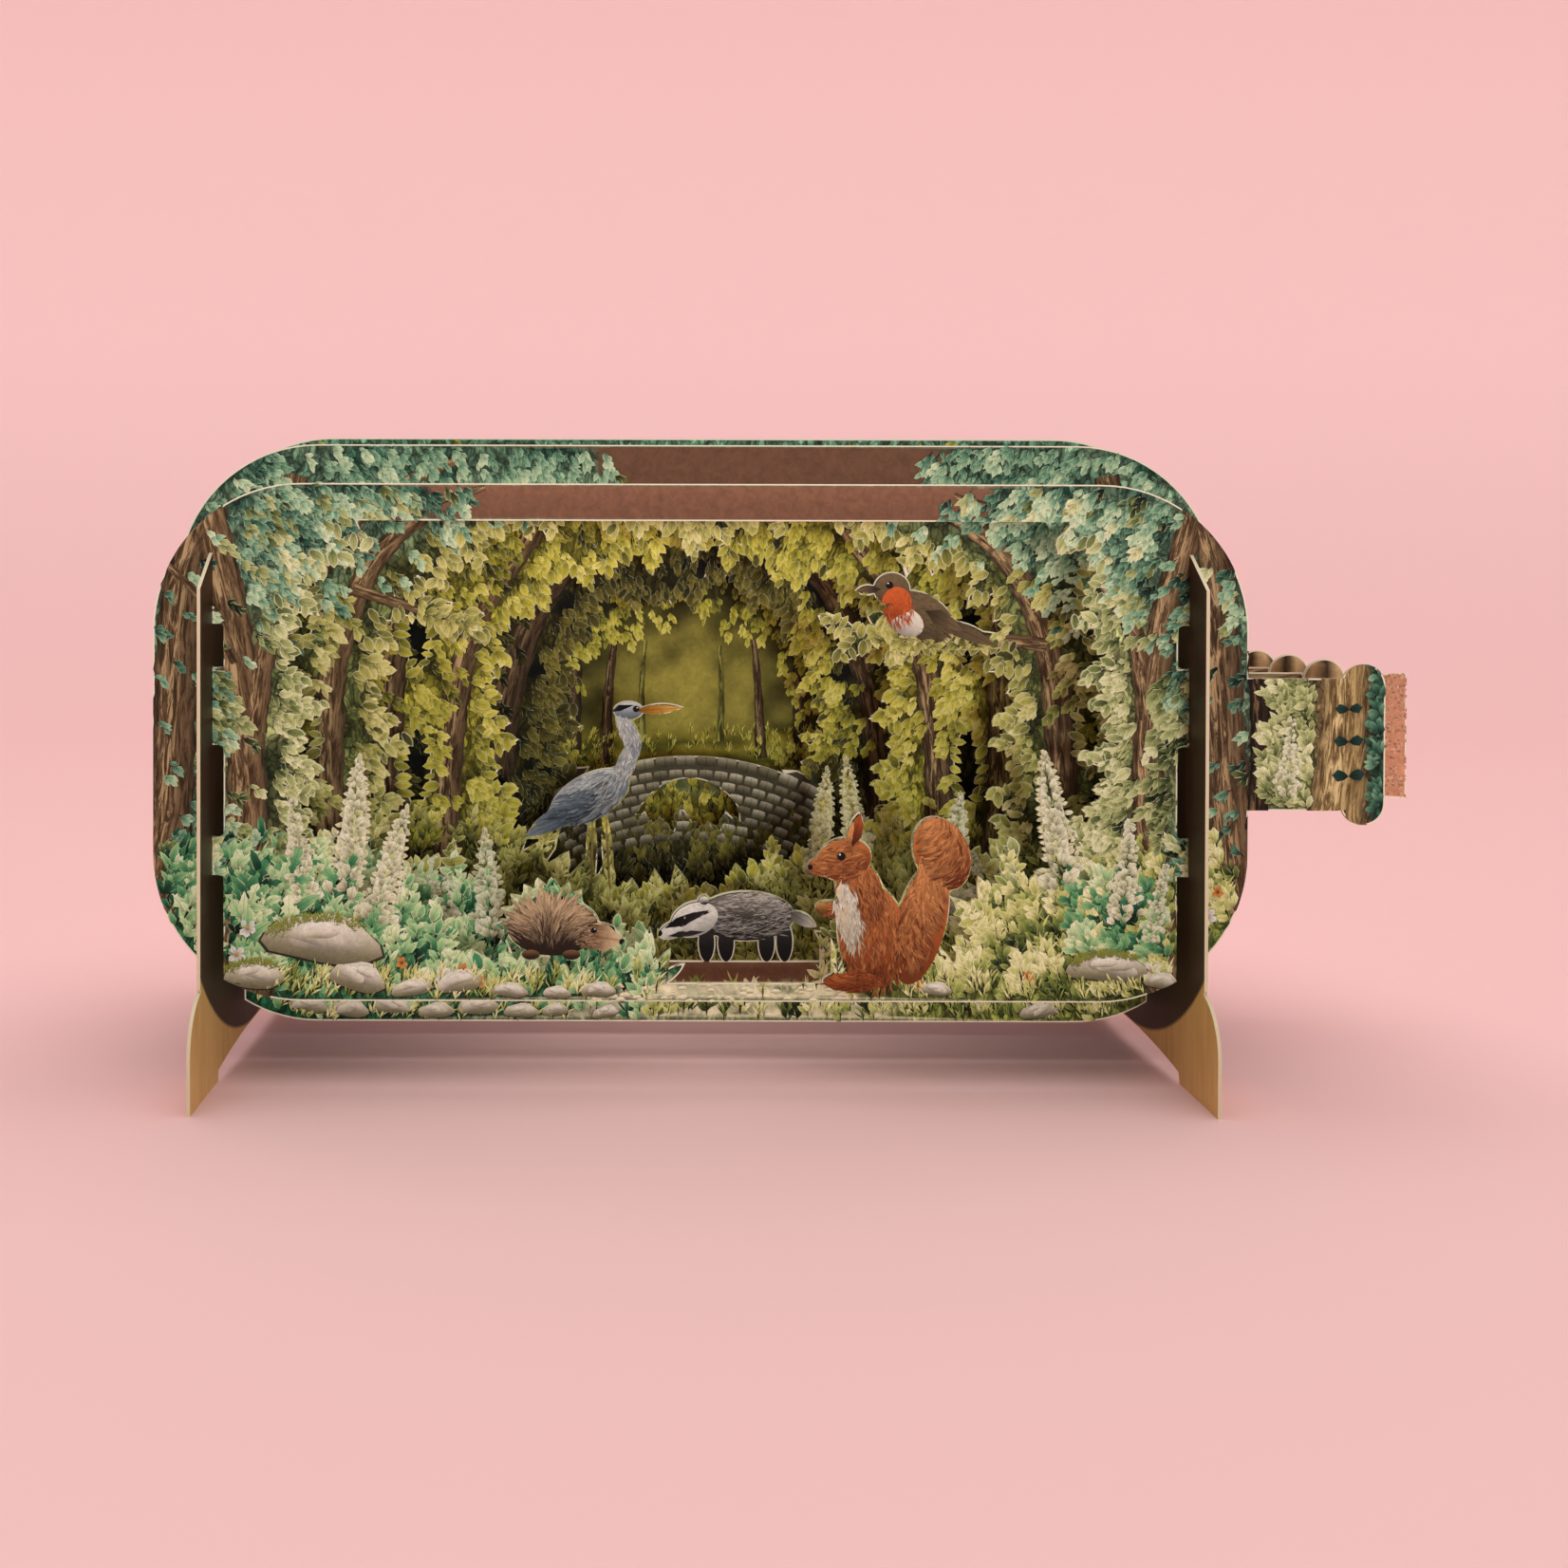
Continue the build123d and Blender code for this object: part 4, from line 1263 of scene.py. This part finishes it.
second = Sheet("second_sheet", "printed_board_second", 23, [
    (bark * 0.85, bark_light, (-79.5, 12, 9), (-79, 30, 6.2), (-80, 50, 5.6), (-80.5, 70, 5.2),
     (-76, 90, 4.2)),
    (bark, bark_light, (-70, 12, 8), (-70.6, 28, 5.4), (-71, 48, 4.6), (-69.5, 64, 4.2), (-63, 78, 3.2),
     (-50, 89, 2)),
    (bark * 0.8, bark_light, (50, 12, 9), (50.6, 30, 6), (50.4, 50, 5.2), (51.4, 70, 4.8), (48, 90, 4)),
    (bark * 0.95, bark_light, (40.5, 12, 8), (41.4, 30, 5.6), (41.2, 48, 4.8), (39, 64, 4.2), (32, 78, 3.2),
     (18, 88, 2)),
    (bark * 0.7, bark_light * 0.8, (-90, 16, 5), (-89.5, 50, 4), (-88, 82, 3.4)),
    (bark, bark_light, (-72, 76, 3), (-64, 86, 2.2), (-50, 93, 1.4)),
    (bark * 0.7, bark_light * 0.8, (61, 14, 5), (60.4, 50, 4), (59, 84, 3.4)),
    (bark, bark_light, (39, 64.2, 2.4), (32, 64.8, 2.0), (24, 64.6, 1.6), (13, 65, 0.8)),
    (bark, bark_light, (-67.5, 72.5, 2.0), (-58, 69.6, 1.5), (-48.5, 66.6, 0.7)),
], [((-45.8, 16.5), 19.7, 4), ((23.6, 20.1), 21.8, -6)],
    [((9, 68), (20.5, 76.5)), ((13, 64), (32, 70.5)), ((-21.5, 15), (4.6, 27))])


def second_ground(points):
    x, z = points.T
    colour = wash(points, olive_shades[1], canopy_shades[2], 16, 11)
    colour = blend(colour, outer_wash(points, 12), steps(ring(points, 78, 43), 0.82, 0.98))
    colour = blend(colour, blend(left_ground[1], right_ground[2], steps(x, -30, 10)), steps(z, 32, 26))
    band = box_share(points, (-30, 86), (24, 99), 0.8)
    way = path_share(points, (-34, 0), (16, 12), 2.5, 17)
    sill = box_share(points, (-21.7, 11.6), (4.4, 17), 0.4)
    for field, share in ((bronze * 0.8, band), (path * 0.9, way), (bronze * 0.9, sill)):
        colour = blend(colour, field, share)
    colour, leafy = with_neck(points, colour, 1 - band - way - sill, 0)
    return np.where((x > cork_x)[:, None], salmon, colour), leafy


def paint_second_canopy():
    canopy = Marks(second, "_canopy")
    random = second.random

    def outer(points):
        return steps(ring(points, 74, 43), 0.82, 0.98)

    def tone(points):
        return second.tones(0.38, 0.24, 7, 13, 0.32, 7, 0.1)(points) + 0.12 * outer(points)

    def here(points):
        clear = 1 - box_share(points, (-27, 86), (21, 99), 1.5)
        return clear * second.off_bark(points) * steps(points[:, 1], 22, 30) * (points[:, 0] < leaf_end_x)

    leaf_bed(canopy, (-95, 22), (66, 95), 3400, olive_shades, 2.5, inward, tone,
             lambda p: here(p) * (1 - outer(p)) * seen(p, (-79, 8), (51, 97)), rim=0.4)
    for low, high, count, length in (((-95, 60), (66, 95), 3000, 2.0), ((-95, 22), (66, 60), 700, 2.4)):
        leaf_bed(canopy, low, high, count, outer_shades, length, inward, tone,
                 lambda p: here(p) * outer(p), rim=0.4, depths=(0.06, 0.14))
    for start, end, count in (((13, 65), (30, 64.6), 26), ((-49, 66.6), (-60, 70), 16)):
        share = random.uniform(0, 1, count)[:, None]
        points = np.array(start) * (1 - share) + np.array(end) * share
        heading = math.pi + random.normal(0, 0.9, count)
        light = random.uniform(0.4, 0.9, count)
        sprays(canopy, points, heading, light, olive_shades, 2.4, leaves=5, spread=2.4,
               depths=(0.14, 0.16), rim=0.5)
    speckle = second.scatter(600, (cork_x, 40), (95, 61))
    shade = random.uniform(0, 1, len(speckle))
    canopy.add(speckle, shade * 3, 0.3 + 0.6 * shade[::-1], rounded, blend(salmon * 0.7, salmon_light, shade),
               blend(salmon, salmon_light, shade[::-1]), 0.04 + np.linspace(0, 0.02, len(speckle)), 2.0)
    paint_songbird(Figure(canopy, (19.38, 64.53), 11.0))
    paint_marks(canopy)


def paint_second_plants():
    plants = Marks(second, "_plants")
    tone = second.tones(0.45, 0.36, 8, 15, 0.32, 5)

    def keep(points):
        return steps(points[:, 1], 34, 28) * (1 - box_share(points, (-22.4, 10), (5, 30), 0.6))

    leaf_bed(plants, (-90, 6), (-22, 36), 900, left_ground, 3.1, upright, tone, keep, **herbs)
    leaf_bed(plants, (-22, 6), (60, 36), 1200, right_ground, 2.8, upright, tone, keep,
             forms=(pointed, blade, blade), spread=1.8, rim=0.3)
    rocks(plants, [(-74, 8.6, 1.4, 2.2), (-67.6, 7.9, 1.6, 1.8), (-61, 8.4, 1.5, 2.1), (-54.4, 7.7, 1.4, 2.0),
                   (-48, 8.4, 1.7, 1.9), (-41.4, 7.7, 1.3, 2.1), (-36.2, 7.9, 1.2, 1.7), (38, 7.8, 1.4, 2.2),
                   (-28.4, 7.6, 1.1, 2)])
    leaf_bed(plants, (-84, 6), (56, 9.4), 240, right_ground, 2.0, upright, tone,
             lambda p: 1 - 0.92 * box_share(p, (-36, 0), (12, 12), 3.0), 0.26, **grass)
    flower_heads(plants, second.spikes + [((-51.5, 18), 16, 14), ((29.5, 19), 15, 8)])
    paint_badger(Figure(plants, (-8.65, 15.53), 11.5))
    paint_marks(plants)


# Middle sheet

middle = Sheet("middle_sheet", "printed_board_middle", 37, [
    (bark * 0.7, bark_light * 0.9, (-63, 10, 8), (-63.4, 30, 6), (-64, 50, 5.4), (-62, 70, 5), (-56, 90, 4)),
    (bark * 0.8, bark_light, (-53.6, 10, 7), (-54.4, 30, 5), (-53.6, 48, 4.4), (-50, 66, 3.8), (-40, 82, 3)),
    (bark * 0.85, olive_shades[4], (34, 10, 9), (35, 30, 6.4), (36, 50, 6), (34, 70, 5.4), (28, 90, 4)),
    (bark * 0.8, bark_light, (24.6, 10, 7), (25.2, 30, 5), (24.6, 48, 4.4), (21, 66, 3.8), (10, 82, 3)),
], [((5.3, 23), 20.9, -5), ((11.9, 27.6), 18, 6)], [((-42.2, 24.5), (-15, 56))])


def middle_ground(points):
    colour = wash(points, sunny_shades[1], sunny_shades[3], 14, 21, 0.35)
    colour = blend(colour, outer_shades[2], steps(ring(points, 80, 46), 0.8, 1.0))
    return with_neck(points, colour, 1.0, 1)


def paint_middle():
    marks = Marks(middle, "_marks")

    def tone(points):
        return middle.tones(0.3, 0.22, 7, 23, 0.36, 8, 0.1)(points) + 0.2 * steps(points[:, 0], -30, 26)

    def keep(points):
        return middle.off_bark(points) * (points[:, 0] < leaf_end_x) * seen(points, (-70, 10), (42, 84))

    leaf_bed(marks, (-95, 30), (66, 97), 4600, sunny_shades, 2.4, inward, tone, keep, rim=0.35)
    leaf_bed(marks, (-72, 4), (46, 34), 1700, olive_shades, 2.8, upright, tone, keep,
             forms=(pointed, blade), spread=1.8, rim=0.3)
    flower_heads(marks, middle.spikes, olive_shades[5], cream_leaf)
    paint_heron(Figure(marks, (-29.69, 23.34), 31.0, 1))
    paint_marks(marks)


# Fourth sheet

fourth = Sheet("fourth_sheet", "printed_board_fourth", 41, [
    (bark * 0.5, bark * 1.1, (-48, 20, 9), (-47.4, 36, 6.4), (-46, 52, 5.6), (-41, 68, 5), (-32, 80, 3.6)),
    (bark * 0.5, bark * 1.1, (18, 20, 9), (18.2, 36, 6.4), (17, 52, 5.6), (12, 68, 5), (3, 80, 3.6)),
    (bark * 0.4, bark * 0.9, (-58, 16, 7), (-57, 44, 5), (-56, 70, 4)),
    (bark * 0.4, bark * 0.9, (28, 16, 7), (28, 44, 5), (27, 70, 4)),
], (), [((middle_x - 19.4, bridge_foot + 6), (middle_x + 19.4, bridge_foot + 18))])


def fourth_ground(points):
    colour = wash(points, dark_shades[0], dark_shades[3], 14, 31)
    colour = blend(colour, olive_shades[2], steps(ring(points, 75, 44), 0.75, 1.0))
    deck = box_share(points, (middle_x - 21.6, bridge_foot + 1), (middle_x + 21.6, bridge_foot + 17), 0.5)
    return with_neck(points, blend(colour, stone_dark * 0.35, deck), 1 - deck, 2)


def bridge_stones(marks):
    """Courses of stones that follow the hump of the footbridge, under a row of coping stones."""
    for course in range(8):
        step, tall, drop, narrow = (2.5, 1.55, 0.4, 1.0) if course else (3.4, 1.9, 0, 0.85)
        across = np.arange(-21, 21.2, step) + (course % 2) * step / 2
        top = bridge_foot + 16.2 - 0.0124 * across ** 2 - 1.75 * course - drop
        points = np.stack([middle_x + across, top - 1.6], 1)
        shade = marks.random.uniform(0, 1, len(points))
        marks.add(points, np.arctan(0.0248 * across), tall, block, blend(stone_dark * 0.4, stone_dark, shade),
                  blend(stone_dark, stone * 0.85, shade), leaf_lift + 0.16 + 0.002 * course,
                  (step - 0.25) / 1.55 * narrow)


def paint_fourth():
    marks = Marks(fourth, "_marks")
    tone = fourth.tones(0.32, 0.22, 7, 35, 0.36, 7, 0.2)

    def keep(points):
        deck = box_share(points, (middle_x - 22.5, bridge_foot), (middle_x + 22.5, bridge_foot + 16.5), 0.4)
        here = (points[:, 0] < leaf_end_x) * seen(points, (-52, 14), (24, 80))
        return fourth.off_bark(points, 0.92) * (1 - deck) * here

    leaf_bed(marks, (-95, 6), (66, 95), 5000, dark_shades, 2.4, inward, tone, keep, rim=0.25)
    leaf_bed(marks, (4, 46), (24, 78), 300, sunny_shades, 2.3, inward, tone, keep, 0.06,
             rim=0.3, depths=(0.14, 0.16))
    bridge_stones(marks)
    leaf_bed(marks, (middle_x - 24, bridge_foot - 3), (middle_x + 24, bridge_foot + 3), 90, dark_shades, 2.6,
             upright, tone, lighter=0.2, forms=(blade, pointed), depths=(0.18, 0.2))
    paint_marks(marks)


# Back sheet

back = Sheet("back_sheet", "printed_board_back", 53, [
    (bark * 0.5, bark_light * 0.8, (-29, 40, 2.6), (-28.6, 52, 1.8), (-27.4, 64, 1.3)),
    (olive_shades[2], olive_shades[3], (-22.4, 45, 1.4), (-22.6, 54, 1.0), (-22, 63, 0.7)),
    (olive_shades[2], olive_shades[3], (-8.6, 45, 1.3), (-8.4, 54, 1.0), (-8.8, 62, 0.7)),
    (bark * 0.5, bark_light * 0.8, (-1.4, 42, 2.2), (-1.8, 52, 1.5), (-2.6, 63, 1.1)),
    (bark * 0.35, bark, (-35, 36, 3.4), (-34.6, 52, 2.6), (-34, 66, 2)),
    (bark * 0.35, bark, (6, 36, 3.4), (5.6, 52, 2.6), (5, 66, 2)),
])
pond = (middle_x + 3, 38.5)


def back_ground(points):
    z = points[:, 1]
    reach = ring(points, 24, 19, middle_x, 53)
    haze = steps(reach + 0.12 * drift(points, 7, 41), 0.05, 0.95)
    meadow = wash(points * (0.4, 2.2), tint(158, 146, 50), tint(86, 84, 26), 8, 43, 0.5, 0.5)
    water = blend(tint(142, 150, 96), tint(88, 96, 56), 0.5 + 0.5 * np.sin(z * 5))
    colour = blend(tint(168, 158, 70), tint(66, 62, 22), haze)
    colour = blend(colour, dark_shades[1], steps(reach, 0.75, 1.25))
    colour = blend(colour, meadow, steps(z, 47.5, 46) * steps(reach, 1.5, 1.0))
    colour = blend(colour, water, steps(ring(points, 11, 3.2, *pond), 1.0, 0.86))
    return with_neck(points, colour, steps(reach, 0.7, 1.2), 3)


def paint_back():
    marks = Marks(back, "_marks")

    def reach(points):
        return ring(points, 23, 17, middle_x, 52)

    def tone(points):
        return back.tones(0.36, 0.2, 5, 45)(points) + 0.34 * steps(reach(points), 1.3, 0.85)

    def keep(points):
        here = (points[:, 0] < leaf_end_x) * seen(points, (-40, 22), (12, 74))
        return steps(reach(points), 0.8, 1.05) * here

    leaf_bed(marks, (-95, 12), (66, 89), 3600, sunny_shades, 2.0, inward, tone, keep, rim=0.2)
    leaf_bed(marks, (-40, 30), (12, 46.5), 420, sunny_shades, 1.5, upright, tone,
             lambda p: 1.0 * (ring(p, 12.5, 4.2, *pond) > 1), 0.2,
             forms=(blade, stroke), spread=1.0, leaves=5)
    paint_marks(marks)


# All sheets


def paint_sheet(sheet, ground, layers, beds, *blooms):
    """The ground and its trunks first, then the marks, then the leaves of board at the cuts."""
    print_ground(sheet, ground)
    paint_trunks(sheet)
    for paint_layer in layers:
        paint_layer()
    edge_beds(sheet, beds, *blooms)


def set_finish(node, material):
    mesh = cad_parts[node].data
    mesh.materials.clear()
    mesh.materials.append(material)


all_left, all_right = (-99, -9), (99, 99)
paint_sheet(front, front_ground, [paint_front_canopy, paint_front_plants], [
    (canopy_shades, (-99, 34), (99, 81), 0.6, 0.75),
    (left_ground, all_left, (-22, 34), 0.7, 0.75),
    (right_ground, (5, -9), (99, 34), 0.7, 0.75)], 0.6)
paint_sheet(second, second_ground, [paint_second_canopy, paint_second_plants], [
    (olive_shades, (-99, 30), all_right, 0.64, 0.55),
    (left_ground, all_left, (-22.4, 30), 0.7, 0.75),
    (right_ground, (5, -9), (99, 30), 0.65, 0.75)], 0.5)
paint_sheet(middle, middle_ground, [paint_middle], [
    (sunny_shades, all_left, all_right, 0.62, 0.4)], 0.3, 1.2, 0.6)
paint_sheet(fourth, fourth_ground, [paint_fourth], [
    (dark_shades, all_left, (2, 99), 0.66, 0.2),
    (sunny_shades, (2, -9), all_right, 0.56, 0.3)])
paint_sheet(back, back_ground, [paint_back], [])
for sheet in (front, second, middle, fourth, back):
    set_finish(sheet.node, board_material)
for support in ("left_support", "right_support"):
    set_finish(support, support_material)


# Floor, light and camera


def build_stage():
    """A pale pink sheet of paper that runs up behind the card."""
    graph = new_print("pale_paper_floor", pink)
    graph.surface["Base Color"].default_value = rgba(pink)
    graph.surface["Roughness"].default_value = 0.9
    start, radius, half_width, corners = 0.45, 0.7, 2.6, 16
    profile = [(-1.6, 0.0), (start, 0.0)]
    for index in range(1, corners + 1):
        angle = math.pi / 2 * index / corners
        profile.append((start + radius * math.sin(angle), radius * (1 - math.cos(angle))))
    profile.append((start + radius, 2.0))
    points = [(x, y, z) for y, z in profile for x in (-half_width, half_width)]
    mesh = bpy.data.meshes.new("floor")
    mesh.from_pydata(points, [], [(a, a + 1, a + 3, a + 2) for a in range(0, len(points) - 2, 2)])
    mesh.shade_smooth()
    mesh.materials.append(graph.material)
    new_object("floor", mesh)


def add_sun(name, from_way, softness, strength):
    """A soft light of one direction, given as the way it comes from."""
    light = bpy.data.lights.new(name, "SUN")
    light.angle = math.radians(softness)
    light.energy = strength
    lamp = new_object(name, light)
    lamp.location = from_way
    lamp.rotation_euler = Vector(from_way).to_track_quat("Z", "Y").to_euler()


build_stage()
add_sun("overhead", (0.05, 0.06, 1.0), 84, 2.7)
add_sun("front", (0.14, -1.0, 0.01), 12, 1.6)
world = bpy.data.worlds.new("studio")
world.use_nodes = True
world.node_tree.nodes["Background"].inputs[0].default_value = (1.0, 0.8, 0.78, 1.0)
world.node_tree.nodes["Background"].inputs[1].default_value = 0.06
bpy.context.scene.world = world

picture_pixels = 1652
focal_pixels = 1747.5
camera_data = bpy.data.cameras.new("camera")
camera_data.sensor_width = 36.0
camera_data.lens = focal_pixels / picture_pixels * camera_data.sensor_width
camera_data.shift_x = 0.1032
camera_data.shift_y = -0.129
camera = new_object("camera", camera_data)
camera.location = (-0.0261, -0.2677, 0.0762)
camera.rotation_euler = (math.pi / 2 - 0.0099, -0.0024, 0.0)
bpy.context.scene.camera = camera
bpy.context.scene.view_settings.view_transform = "Standard"


def plain(bounds):
    return [[float(c) for c in corner] for corner in bounds]
